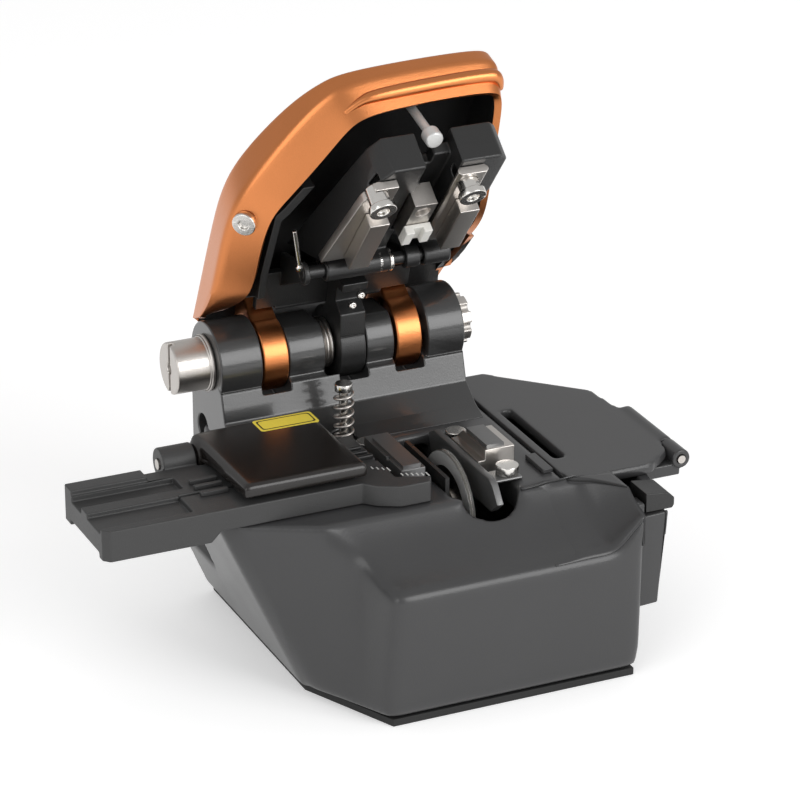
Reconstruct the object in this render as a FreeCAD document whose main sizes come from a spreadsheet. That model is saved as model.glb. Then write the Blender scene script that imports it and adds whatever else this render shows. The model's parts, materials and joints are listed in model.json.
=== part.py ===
"""One-action fibre cleaver, standing open: housing, hinged lid with its floating clamp head,
blade carriage, fibre holder with its own cover, and a slide-out scrap bin."""
import FreeCAD, Part
import Sketcher
import os
import re

from FreeCAD import Placement, Rotation, Vector

# Driving dimensions, in millimetres and degrees. X runs to the scrap bin, Y to the hinge, Z up.
# The origin is the centre of the rubber base's underside.
DIMENSIONS = {
    # housing
    "pad_thick": 1.5, "plate_thick": 2.0, "deck": 36.0,
    "front": -36.0, "back": 32.0, "foot_left": -31.0, "foot_right": 30.0, "right": 31.0,
    "wing_left": -45.5, "wing_back": 12.0, "wing_low": 14.0,
    "block_left": -20.0, "scoop_radius": 20.0, "scoop_y": -37.0, "scoop_end": 24.5,
    "slot_left": -1.2, "slot_right": 12.2, "slot_front": -22.5, "slot_back": 9.5,
    "bay_floor": 5.0, "bay_roof": 29.5, "bay_left": -12.0, "bay_right": 18.0,
    "bay_front": -23.0, "bay_back": 24.0,
    # hinge
    "hinge_y": 28.8, "hinge_z": 50.0, "knuckle_r": 8.0, "sleeve_r": 6.9, "arm_r": 7.3,
    "shaft_r": 2.5, "shaft_gap": 0.06, "bracket_left": -31.3, "bracket_right": 19.8,
    "bracket_front": 13.0, "bracket_back": 36.8,
    "pin_head_r": 5.1, "pin_head_long": 6.8,
    # lid, drawn shut
    "lid_open": 74.0, "lid_left": -30.0, "lid_right": 21.8, "lid_front": -34.5, "lid_rim": 45.2,
    "lid_top": 60.5, "lid_nose": 52.9, "lid_ledge": 50.0, "lid_wall": 1.5, "lid_back": 26.5,
    "arm_left": -22.4, "arm_right": 5.6, "arm_wide": 5.3,
    # floating clamp head, drawn level
    "head_tilt": 24.0, "head_y": 6.3, "head_z": 44.2, "fibre_y": -6.0, "fibre_z": 41.0,
    "blade_x": 3.0, "left_clamp_x": -7.2, "right_clamp_x": 11.6, "left_post_x": -8.0, "right_post_x": 10.2, "head_front": -24.9,
    # blade and its carriage
    "blade_r": 11.0, "blade_y": -8.0, "blade_z": 28.7, "blade_thick": 1.0,
    # fibre holder
    "holder_left": -68.8, "holder_right": -5.0, "holder_front": -15.0, "holder_back": 5.8,
    "holder_top": 40.4, "holder_thin": 36.2, "holder_thick": 34.2,
    "cover_y": 8.6, "cover_z": 40.4, "cover_r": 3.1,
    # scrap bin
    "bin_left": 21.5, "bin_floor": 12.2, "bin_wall": 1.6, "bin_gap": 0.3, "bin_skin": 2.2,
    "bin_hinge_x": 47.0, "bin_hinge_z": 34.4, "bin_hinge_r": 1.9,
}

doc = FreeCAD.newDocument("fibre_cleaver")
sizes = doc.addObject("Spreadsheet::Sheet", "Sizes")
for row, (alias, number) in enumerate(DIMENSIONS.items(), start=1):
    sizes.set("A%d" % row, alias)
    sizes.set("B%d" % row, str(number))
    sizes.setAlias("B%d" % row, alias)
doc.recompute()

NODES = {}
AXES = {"X": Rotation(Vector(0, 1, 0), 90), "Y": Rotation(Vector(1, 0, 0), -90), "Z": Rotation()}
PLANES = {"XY": Rotation(), "XZ": Rotation(Vector(1, 0, 0), 90), "YZ": Rotation(120, 0, 0)}
PLANES["YZ"] = Rotation(Vector(0, 0, 1), 90) * Rotation(Vector(1, 0, 0), 90)


def linked(expression):
    """The expression with each dimension's name pointing at the sheet."""
    return re.sub(r"[a-z]+(_[a-z]+)*", lambda word: "Sizes." + word.group(0), str(expression))


def measure(expression):
    """The value of an expression, in millimetres."""
    return float(sizes.evalExpression(linked(expression)))


def bind(item, links):
    """Tie properties of an object to the sheet."""
    for name, expression in links.items():
        item.setExpression(name, linked(expression))
    return item


def place(item, x, y, z):
    """Tie an object's position to the sheet."""
    return bind(item, {"Placement.Base.x": x, "Placement.Base.y": y, "Placement.Base.z": z})


def block(low, high):
    """A box between two corners."""
    item = doc.addObject("Part::Box", "Block")
    spans = ["(%s) - (%s)" % (far, near) for near, far in zip(low, high)]
    bind(item, dict(zip(("Length", "Width", "Height"), spans)))
    return place(item, *low)


def rod(axis, start, radius, length):
    """A cylinder along an axis."""
    item = doc.addObject("Part::Cylinder", "Rod")
    item.Placement = Placement(Vector(), AXES[axis])
    bind(item, {"Radius": radius, "Height": length})
    return place(item, *start)


def taper(axis, start, first, second, length):
    """A cone along an axis."""
    item = doc.addObject("Part::Cone", "Taper")
    item.Placement = Placement(Vector(), AXES[axis])
    bind(item, {"Radius1": first, "Radius2": second, "Height": length})
    return place(item, *start)


def draw(sketch, corners):
    """Draw a closed outline whose corners are tied to the sheet."""
    points = [Vector(measure(u), measure(v), 0) for u, v in corners]
    count = len(points)
    for index, point in enumerate(points):
        sketch.addGeometry(Part.LineSegment(point, points[(index + 1) % count]), False)
    for index in range(count):
        following = (index + 1) % count
        sketch.addConstraint(Sketcher.Constraint("Coincident", index, 2, following, 1))
    for index, (u, v) in enumerate(corners):
        for kind, expression in (("DistanceX", u), ("DistanceY", v)):
            value = measure(expression)
            number = sketch.addConstraint(Sketcher.Constraint(kind, -1, 1, index, 1, value))
            sketch.setExpression("Constraints[%d]" % number, linked(expression))
    return sketch


def prism(plane, corners, start, length):
    """An outline on a plane, pushed along the plane's normal (+Z, -Y or +X)."""
    sketch = doc.addObject("Sketcher::SketchObject", "Outline")
    sketch.Placement = Placement(Vector(), PLANES[plane])
    side = {"XY": "z", "XZ": "y", "YZ": "x"}[plane]
    bind(sketch, {"Placement.Base." + side: start})
    draw(sketch, corners)
    item = doc.addObject("Part::Extrusion", "Prism")
    item.Base = sketch
    item.DirMode = "Normal"
    item.Solid = True
    return bind(item, {"LengthFwd": length})


def flat(height, corners):
    """An outline lying level at a height, as a section for a loft."""
    sketch = doc.addObject("Sketcher::SketchObject", "Section")
    bind(sketch, {"Placement.Base.z": height})
    return draw(sketch, corners)


def cut(base, *tools):
    """The base less the tools."""
    item = doc.addObject("Part::Cut", "Cut")
    item.Base = base
    item.Tool = tools[0] if len(tools) == 1 else fuse(*tools)
    return item


def fuse(*pieces):
    """Several solids made one."""
    item = doc.addObject("Part::MultiFuse", "Fuse")
    item.Shapes = list(pieces)
    item.Refine = True
    return item


def soften(item, radius, chosen, kind="Part::Fillet"):
    """Round (or chamfer) the edges that a test picks."""
    doc.recompute()
    numbers = [i for i, edge in enumerate(item.Shape.Edges, start=1) if chosen(edge)]
    result = doc.addObject(kind, "Soft")
    result.Base = item
    result.Edges = [(number, radius, radius) for number in numbers]
    doc.recompute()
    if result.Shape.isNull() or not result.Shape.isValid():
        raise RuntimeError("edges of %s can't be rounded" % item.Name)
    return result


def along(edge, axis):
    """Whether an edge is straight and runs along an axis."""
    if not isinstance(edge.Curve, Part.Line):
        return False
    return abs(abs(edge.Curve.Direction.dot(axis)) - 1) < 1e-6


def at(edge, **spot):
    """Whether all of an edge lies at the given X, Y or Z."""
    box = edge.BoundBox
    reach = {"x": (box.XMin, box.XMax), "y": (box.YMin, box.YMax), "z": (box.ZMin, box.ZMax)}
    return all(max(abs(end - spot[k]) for end in reach[k]) < 0.01 for k in spot)


def new_body(name):
    """An empty PartDesign body."""
    return doc.addObject("PartDesign::Body", name)


def sketch_on(body, role, corners, offset="0"):
    """A sketch on one of a body's own origin planes."""
    sketch = body.newObject("Sketcher::SketchObject", body.Name + "Sketch")
    plane = next(f for f in body.Origin.OriginFeatures if f.Role == role)
    sketch.AttachmentSupport = [(plane, "")]
    sketch.MapMode = "FlatFace"
    bind(sketch, {"AttachmentOffset.Base.z": offset})
    return draw(sketch, corners)


def pad(body, role, corners, offset, length):
    """Add a pad to a body."""
    feature = body.newObject("PartDesign::Pad", body.Name + "Pad")
    feature.Profile = sketch_on(body, role, corners, offset)
    bind(feature, {"Length": length})
    doc.recompute()
    return feature


def pocket(body, role, corners, offset, length):
    """Cut a pocket along the plane's normal, and check that it removed something."""
    before = body.Shape.Volume
    feature = body.newObject("PartDesign::Pocket", body.Name + "Pocket")
    feature.Profile = sketch_on(body, role, corners, offset)
    feature.Reversed = True
    bind(feature, {"Length": length})
    doc.recompute()
    if body.Shape.Volume > before - 0.1:
        raise RuntimeError("a pocket of %s cuts nothing" % body.Name)
    return feature


def dress(body, kind, size, chosen):
    """Fillet or chamfer the edges of a body that a test picks."""
    base = body.Tip
    names = ["Edge%d" % i for i, edge in enumerate(base.Shape.Edges, start=1) if chosen(edge)]
    feature = body.newObject("PartDesign::" + kind, body.Name + kind)
    feature.Base = (base, names)
    setattr(feature, "Radius" if kind == "Fillet" else "Size", size)
    doc.recompute()
    if feature.Shape.isNull() or not feature.Shape.isValid():
        raise RuntimeError("%s of %s failed" % (kind, body.Name))
    return feature


def node(name, item):
    """Name a finished sub-part."""
    item.Label = name
    NODES[name] = item
    return item


def ring(x, y, z, radius, bore, length):
    """A bush along X."""
    hole = rod("X", ("%s - 0.5" % x, y, z), bore, "%s + 1" % length)
    return cut(rod("X", (x, y, z), radius, length), hole)


def swung(item, tilted=False):
    """Turn a piece that is drawn shut into its open place: the head's tilt first, then the lid's."""
    turn = Placement()
    if tilted:
        pivot = Vector(0, measure("head_y"), measure("head_z"))
        turn = Placement(Vector(), Rotation(Vector(1, 0, 0), measure("head_tilt")), pivot)
    hinge = Vector(0, measure("hinge_y"), measure("hinge_z"))
    opened = Placement(Vector(), Rotation(Vector(1, 0, 0), -measure("lid_open")), hinge)
    doc.recompute()
    if item.ExpressionEngine:
        whole = doc.addObject("Part::Compound", "Turned")
        whole.Links = [item]
        doc.recompute()
        item = whole
    item.Placement = opened * turn * item.Placement
    return item


# ---------------------------------------------------------------- housing

def housing():
    """Cast body: twisting flank under the wing, scooped front, blade slot, bin bay, inner bay."""
    body = new_body("Housing")
    low = [("foot_left", "back"), ("foot_left", "front + 20"), ("foot_left + 1", "front + 16"),
           ("foot_left + 6", "front + 6"), ("foot_left + 9", "front"), ("foot_right", "front"),
           ("foot_right", "back")]
    high = [("wing_left", "back"), ("wing_left", "front + 26"), ("wing_left + 3.2", "front + 22.6"),
            ("block_left - 2.2", "front + 12.2"), ("block_left", "front"), ("right", "front"),
            ("right", "back")]
    flank = body.newObject("PartDesign::AdditiveLoft", "HousingFlank")
    flank.Profile = sketch_on(body, "XY_Plane", low, "pad_thick")
    flank.Sections = [sketch_on(body, "XY_Plane", high, "deck")]
    flank.Ruled = True
    doc.recompute()

    scoop = body.newObject("PartDesign::SubtractiveCylinder", "HousingScoop")
    bind(scoop, {"Radius": "scoop_radius", "Height": "scoop_end - wing_left + 5"})
    scoop.Placement = Placement(Vector(), AXES["X"])
    place(scoop, "wing_left - 5", "scoop_y", "scoop_radius + 27")
    doc.recompute()
    runout = body.newObject("PartDesign::SubtractiveCone", "HousingScoopRunout")
    bind(runout, {"Radius1": "scoop_radius", "Radius2": "scoop_radius - 8", "Height": "8"})
    runout.Placement = Placement(Vector(), AXES["X"])
    place(runout, "scoop_end", "scoop_y", "scoop_radius + 27")
    doc.recompute()

    # the wing is cut back behind the fibre holder
    wing = [("wing_left - 5", "wing_back"), ("foot_left - 0.3", "wing_back + 3"),
            ("foot_left - 0.3", "back + 5"), ("wing_left - 5", "back + 5")]
    pocket(body, "XY_Plane", wing, "wing_low", "40")
    # bay for the scrap bin, open to the right and the back
    bay = [("bin_left - bin_gap", "front + 14.4"), ("bin_left + 2.6", "front + 11.4"),
           ("bin_left + 8.2", "front + 3.7"), ("right + 5", "front + 3.7"),
           ("right + 5", "back + 5"), ("bin_left - bin_gap", "back + 5")]
    pocket(body, "XY_Plane", bay, "bin_floor - bin_gap", "40")
    # inner bay for the blade carriage, from below, and the blade slot through the deck
    inner = [("bay_left", "bay_front"), ("bay_right", "bay_front"),
             ("bay_right", "bay_back"), ("bay_left", "bay_back")]
    pocket(body, "XY_Plane", inner, "0", "bay_roof")
    slot = [("slot_left", "slot_back"), ("slot_left", "slot_front + 5"),
            ("slot_left + 2.4", "slot_front + 1"), ("slot_left + 6", "slot_front - 0.3"),
            ("slot_right - 4", "slot_front"), ("slot_right - 1", "slot_front + 2"),
            ("slot_right", "slot_front + 5"), ("slot_right", "slot_back")]
    pocket(body, "XY_Plane", slot, "bay_roof - 1", "10")
    relief = [("slot_left", "bay_back"), ("slot_left", "slot_front + 1.8"),
              ("slot_right - 5", "slot_front + 1.8"), ("slot_right - 5", "bay_back")]
    pocket(body, "XY_Plane", relief, "bay_roof - 1", "deck - 2.5 - bay_roof + 1")
    recess = [("foot_left + 10", "front + 4"), ("foot_right - 4", "front + 4"),
              ("foot_right - 4", "back - 4"), ("foot_left + 4", "back - 4"),
              ("foot_left + 4", "front + 22")]
    pocket(body, "XY_Plane", recess, "0", "pad_thick + plate_thick")
    return body


post_x = "left_clamp_x - 2.3"
post_y = "hinge_y - 15.8"
node("main_housing", cut(housing(), rod("Z", (post_x, post_y, "bay_roof - 4"), "1.0", "12"),
                         rod("Z", (post_x, post_y, "deck - 2.6"), "2.4", "4")))

base_outline = [("foot_left + 10.2", "front + 1"), ("foot_right - 1", "front + 1"),
                ("foot_right - 1", "back - 1"), ("foot_left + 1", "back - 1"),
                ("foot_left + 1", "front + 21")]
node("rubber_base", prism("XY", base_outline, "0", "pad_thick"))
plate_outline = [("foot_left + 10.3", "front + 4.3"), ("foot_right - 4.3", "front + 4.3"),
                 ("foot_right - 4.3", "back - 4.3"), ("foot_left + 4.3", "back - 4.3"),
                 ("foot_left + 4.3", "front + 22.3")]
node("base_plate", prism("XY", plate_outline, "pad_thick", "plate_thick"))


# ---------------------------------------------------------------- hinge

def hinge_bracket():
    """Bridge across the back of the deck, with four knuckles for the hinge shaft."""
    profile = [("bracket_front - 1.5", "deck + 0.01"), ("bracket_front + 2.5", "deck + 1.4"),
               ("hinge_y - 9", "deck + 4.5"), ("hinge_y - 7.4", "hinge_z - 4"),
               ("hinge_y", "hinge_z"), ("bracket_back", "hinge_z"),
               ("bracket_back", "deck - 12"), ("back + 0.05", "deck - 12"),
               ("back + 0.05", "deck + 0.01")]
    bridge = prism("YZ", profile, "bracket_left", "bracket_right - bracket_left")
    left = rod("X", ("bracket_left", "hinge_y", "hinge_z"), "knuckle_r", "arm_left - bracket_left")
    right_long = "bracket_right - arm_right - arm_wide - 1.1"
    right = rod("X", ("arm_right + arm_wide + 1.1", "hinge_y", "hinge_z"), "knuckle_r", right_long)
    middle = rod("X", ("arm_left + arm_wide + 0.3", "hinge_y", "hinge_z"), "sleeve_r", "7.6")
    inner = rod("X", ("arm_right - 6.2", "hinge_y", "hinge_z"), "sleeve_r", "5.9")
    whole = fuse(bridge, left, right, middle, inner)
    cuts = [rod("X", ("bracket_left - 1", "hinge_y", "hinge_z"), "shaft_r + shaft_gap", "60")]
    for arm in ("arm_left", "arm_right", "arm_right - 11.8"):
        cuts.append(rod("X", (arm + " - 0.3", "hinge_y", "hinge_z"), "knuckle_r + 1.4", "arm_wide + 0.6"))
    # room for the torsion spring between the inner sleeves
    cuts.append(rod("X", ("arm_left + arm_wide + 7.9", "hinge_y", "hinge_z"), "knuckle_r", "2.8"))
    # flats on the sleeves, and the hole in the left cheek
    cuts.append(block(("arm_left + arm_wide", "hinge_y - 9", "hinge_z + 5.9"),
                      ("arm_right", "hinge_y + 9", "hinge_z + 9")))
    cuts.append(rod("X", ("bracket_left - 1", "hinge_y + 2.4", "hinge_z - 14.5"), "2.6", "3"))
    cuts.append(rod("Z", (post_x, post_y, "deck - 1"), "2.5", "12"))
    return cut(whole, *cuts)


node("hinge_bracket", hinge_bracket())


def hinge_pin():
    """Turned steel pin: shaft, thick slotted head with a centre hole and a thin collar."""
    head_start = "bracket_left - 0.9 - pin_head_long"
    head = rod("X", (head_start, "hinge_y", "hinge_z"), "pin_head_r", "pin_head_long")
    collar = rod("X", ("bracket_left - 0.9", "hinge_y", "hinge_z"), "pin_head_r + 0.5", "0.9")
    shaft = rod("X", ("bracket_left - 1", "hinge_y", "hinge_z"), "shaft_r",
                "bracket_right - bracket_left + 3")
    whole = fuse(head, collar, shaft)
    centre = rod("X", (head_start + " - 1", "hinge_y", "hinge_z"), "1.1", "4")
    slot = block((head_start + " - 1", "hinge_y - 0.55", "hinge_z - 7"),
                 (head_start + " + 1.3", "hinge_y + 0.55", "hinge_z + 7"))
    return cut(whole, centre, slot)


node("hinge_pin", hinge_pin())


def pin_nut():
    """Slotted round nut on the right end of the pin."""
    start = "bracket_right + 0.05"
    whole = ring(start, "hinge_y", "hinge_z", "5.0", "shaft_r + 0.01", "3")
    notches = []
    for dy, dz in ((0, 1), (1, 0), (0, -1), (-1, 0), (0.7, 0.7), (-0.7, 0.7), (0.7, -0.7), (-0.7, -0.7)):
        notches.append(rod("X", (start + " + 1", "hinge_y + %s" % (5.0 * dy),
                                 "hinge_z + %s" % (5.0 * dz)), "0.8", "4"))
    return cut(whole, *notches)


node("hinge_nut", pin_nut())


def torsion_spring():
    """Close-wound spring round the pin, drawn as three round coils."""
    coils = []
    for turn in range(3):
        coil = doc.addObject("Part::Torus", "Coil")
        coil.Placement = Placement(Vector(), AXES["X"])
        bind(coil, {"Radius1": "4.6", "Radius2": "0.44"})
        place(coil, "arm_left + arm_wide + 8.4 + 0.87 * %d" % turn, "hinge_y", "hinge_z")
        coils.append(coil)
    return fuse(*coils)


node("lid_torsion_spring", torsion_spring())

# ---------------------------------------------------------------- lid


def lid_outline(ledge, inset="0"):
    """The lid's plan at the rim, at its widest ledge or at the roof, drawn in by an inset."""
    rim = [("lid_left + 4.5", "front + 42.4"), ("lid_left + 6.2", "front + 29"),
           ("lid_left + 8", "front + 27"), ("lid_left + 17.2", "front + 15.5"),
           ("lid_left + 20.5", "front + 10.4"), ("lid_left + 25", "front + 7.8"),
           ("lid_right - 2.6", "front + 6.8"), ("lid_right", "front + 9.4")]
    ledge_line = [("lid_left - 1.6", "front + 40.4"), ("lid_left + 0.5", "front + 29"),
                  ("lid_left + 3.2", "front + 23.5"), ("lid_left + 12.6", "front + 10.9"),
                  ("lid_left + 17.5", "front + 6.2"), ("lid_left + 22", "front + 3.6"),
                  ("lid_right - 2.2", "front + 2.6"), ("lid_right + 1.2", "front + 5.6")]
    roof = [("lid_left + 1.6", "front + 37"), ("lid_left + 2.6", "front + 30"),
            ("lid_left + 4.6", "front + 22.5"), ("lid_left + 12.5", "front + 10.5"),
            ("lid_left + 18", "front + 4.2"), ("lid_left + 22", "front + 1.9"),
            ("lid_right - 3", "front + 1.6"), ("lid_right + 0.4", "front + 4.6")]
    chosen = {"rim": rim, "ledge": ledge_line, "roof": roof}[ledge]
    leans = ((1, 0), (1, 0.1), (0.9, 0.4), (0.8, 0.6), (0.7, 0.7), (0.35, 1), (-0.5, 1), (-1, 0.5))
    back = {"rim": "lid_left + 4.5", "ledge": "lid_left - 1.6", "roof": "lid_left - 0.4"}[ledge]
    points = [(back + " + %s" % inset, "lid_back")]
    for (x, y), (dx, dy) in zip(chosen, leans):
        points.append((x + " + %s * %s" % (dx, inset), y + " + %s * %s" % (dy, inset)))
    points.append(("lid_right - %s" % inset, "lid_back"))
    return points


def lid_shell():
    """Arched cover: undercut left wall, sloping roof, deep front lip."""
    body = new_body("LidShell")
    for name, low, high, start, end in (("LidSkirt", "rim", "ledge", "lid_rim", "lid_ledge"),
                                        ("LidShoulder", "ledge", "roof", "lid_ledge", "lid_top + 1")):
        loft = body.newObject("PartDesign::AdditiveLoft", name)
        loft.Profile = sketch_on(body, "XY_Plane", lid_outline(low), start)
        loft.Sections = [sketch_on(body, "XY_Plane", lid_outline(high), end)]
        loft.Ruled = True
        doc.recompute()
    roof = [("lid_front - 5", "lid_nose - 1"), ("lid_front", "lid_nose"),
            ("lid_front + 8.5", "lid_nose + 2.9"), ("lid_front + 19.5", "lid_nose + 4.9"),
            ("lid_front + 35.5", "lid_top - 1"), ("lid_back - 6", "lid_top"),
            ("lid_back + 5", "lid_top - 0.6"), ("lid_back + 5", "lid_top + 5"),
            ("lid_front - 5", "lid_top + 5")]
    pocket(body, "YZ_Plane", roof, "lid_left - 5", "70")
    tail = [("hinge_y - 17.6", "lid_rim - 9"), ("hinge_y - 17.6", "lid_rim"),
            ("hinge_y - 11", "hinge_z + 3.5"), ("hinge_y - 4.6", "hinge_z + 9"),
            ("lid_back + 5", "hinge_z + 9.2"), ("lid_back + 5", "lid_rim - 9")]
    pocket(body, "YZ_Plane", tail, "lid_left - 5", "70")
    notch = [("hinge_y - 27", "lid_rim - 1"), ("hinge_y - 11", "hinge_z + 6"),
             ("lid_back + 5", "hinge_z + 9.2"), ("lid_back + 5", "lid_rim - 1")]
    pocket(body, "YZ_Plane", notch, "arm_right + arm_wide + 0.6", "30")
    return body


def lid_hollow():
    """The space inside the skirt, under the ledge and under the sloping roof."""
    profile = [("lid_front + 3", "lid_rim - 1"), ("lid_front + 5.6", "lid_nose - 0.6"),
               ("lid_front + 9", "lid_nose + 1.6"), ("lid_front + 19.5", "lid_nose + 3.6"),
               ("lid_front + 35.5", "lid_top - 2.4"), ("lid_back - 6", "lid_top - 1.8"),
               ("lid_back + 6", "lid_top - 2.4"), ("lid_back + 6", "lid_rim - 1")]
    band = prism("YZ", profile, "lid_left - 5", "60")
    skirt = doc.addObject("Part::Loft", "SkirtHollow")
    skirt.Sections = [flat("lid_rim - 0.01", lid_outline("rim", "lid_wall")),
                      flat("lid_ledge", lid_outline("ledge", "lid_wall")),
                      flat("lid_top + 1", lid_outline("roof", "lid_wall"))]
    skirt.Solid = True
    skirt.Ruled = True
    item = doc.addObject("Part::MultiCommon", "LidHollow")
    item.Shapes = [band, skirt]
    return item


def lid_arm(start):
    """Arm from the roof down to the shaft, ending in a ring."""
    profile = [("hinge_y - 10", "hinge_z + 9.4"), ("hinge_y - 7.2", "hinge_z + 0.5"),
               ("hinge_y", "hinge_z"), ("hinge_y + 3", "hinge_z + 6.4"),
               ("hinge_y - 3", "lid_top - 1"), ("hinge_y - 10", "lid_top - 1")]
    web = prism("YZ", profile, start, "arm_wide")
    eye = rod("X", (start, "hinge_y", "hinge_z"), "arm_r", "arm_wide")
    return web, eye


def lid():
    """The orange lid with both arms."""
    shell = lid_shell()
    pieces = []
    for start in ("arm_left + 0.15", "arm_right + 0.15"):
        pieces.extend(lid_arm(start))
    bore = rod("X", ("arm_left - 2", "hinge_y", "hinge_z"), "shaft_r + shaft_gap", "40")
    groove = rod("X", ("lid_left + 19", "lid_front + 2.4", "lid_rim + 2.6"), "1.15", "60")
    return cut(fuse(cut(shell, lid_hollow()), *pieces), bore, groove)


node("lid", swung(lid()))


def screw(axis, start, head_r, head_long, socket_r):
    """Small cap screw head with a round socket."""
    head = rod(axis, start, head_r, head_long)
    x, y, z = start
    mouth = {"X": (x + " - 0.5", y, z), "Y": (x, y + " - 0.5", z), "Z": (x, y, z + " - 0.5")}[axis]
    return cut(head, rod(axis, mouth, socket_r, "0.5 + 0.5 * (%s)" % head_long))


side_head = cut(rod("Z", ("0", "0", "-0.4"), "2.3", "1.5"), rod("Z", ("0", "0", "0.4"), "1.0", "2"))
side_spot = Vector(measure("lid_left + 2.7"), measure("front + 30.8"), measure("lid_rim + 2.7"))
doc.recompute()
side_head.Placement = Placement(side_spot, Rotation(Vector(0, 1, 0), -139))
node("lid_side_screw", swung(side_head))

rod_top = rod("Z", ("blade_x", "front + 10.6", "lid_rim - 3.4"), "0.9", "11")
rod_cap = rod("Z", ("blade_x", "front + 10.6", "lid_rim - 6"), "1.6", "2.8")
node("head_guide_rod", swung(fuse(rod_top, rod_cap)))

node("lid_magnet", swung(rod("Z", ("lid_right - 4.4", "lid_front + 7.1", "lid_nose - 1.6"), "1.4", "3.4")))



def lid_liner():
    """Black frame inside the lid: side wall, rear plate and two lugs for the head's pivot pin."""
    walls = cut(prism("XY", lid_outline("rim", "lid_wall + 0.5"), "lid_rim + 1.4", "7.4"),
                prism("XY", lid_outline("rim", "lid_wall + 1.9"), "lid_rim", "10"))
    plate = block(("lid_left + 9", "head_y + 5.6", "lid_rim + 7.4"),
                  ("arm_right + arm_wide + 0.4", "hinge_y - 8.6", "lid_rim + 8.8"))
    tongue = block(("arm_left + arm_wide + 0.5", "hinge_y - 9", "lid_rim + 7.4"),
                   ("arm_right - 0.2", "hinge_y - 7.65", "lid_rim + 8.8"))
    lugs = []
    for start, long in (("left_clamp_x - 9.1", "1.05"), ("blade_x + 1.7", "2.8")):
        lug = prism("YZ", [("head_y - 2.1", "head_z"), ("head_y + 2.1", "head_z"),
                           ("head_y + 9", "lid_rim + 7.5"), ("head_y + 4.5", "lid_rim + 8.8"),
                           ("head_y + 2", "lid_rim + 8.8")], start, long)
        lugs.extend([lug, rod("X", (start, "head_y", "head_z"), "2.2", long)])
    front = block(("lid_left - 5", "front - 5", "lid_rim - 2"), ("lid_right + 5", "fibre_y - 6", "lid_top + 5"))
    side = block(("arm_right + arm_wide + 0.6", "fibre_y - 8", "lid_rim - 2"),
                 ("lid_right + 5", "lid_back + 5", "lid_top + 5"))
    tail = prism("YZ", [("hinge_y - 17", "lid_rim - 2"), ("hinge_y - 15.5", "lid_rim + 3"),
                        ("hinge_y - 8.6", "hinge_z + 7"), ("hinge_y - 8.2", "lid_top + 5"),
                        ("lid_back + 5", "lid_top + 5"), ("lid_back + 5", "lid_rim - 2")],
                 "lid_left - 5", "60")
    whole = fuse(cut(walls, front, side, tail), plate, tongue, *lugs)
    return cut(whole, rod("X", ("left_clamp_x - 13", "head_y", "head_z"), "1.24", "36"))


node("lid_liner", swung(lid_liner()))


def lid_lever():
    """Hooked black lever between the arms; it turns with the lid and meets the plunger's plate."""
    start = "arm_right - 11.8"
    profile = [("hinge_y - 16.4", "hinge_z - 4"), ("hinge_y - 14.6", "hinge_z - 4"),
               ("hinge_y - 14.2", "hinge_z - 1.6"), ("hinge_y - 11", "hinge_z - 1.6"),
               ("hinge_y - 9.6", "hinge_z - 4.6"), ("hinge_y - 5", "hinge_z - 5.6"),
               ("hinge_y", "hinge_z"), ("hinge_y - 3.4", "hinge_z + 6.2"),
               ("hinge_y - 7.6", "lid_rim + 7.39"), ("hinge_y - 16.4", "lid_rim + 7.39")]
    web = prism("YZ", profile, start, "arm_wide")
    eye = rod("X", (start, "hinge_y", "hinge_z"), "arm_r", "arm_wide")
    return cut(fuse(web, eye), rod("X", (start + " - 1", "hinge_y", "hinge_z"), "shaft_r + shaft_gap", "9"))


node("lid_lever", swung(lid_lever()))

# ---------------------------------------------------------------- floating head, drawn level


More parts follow.
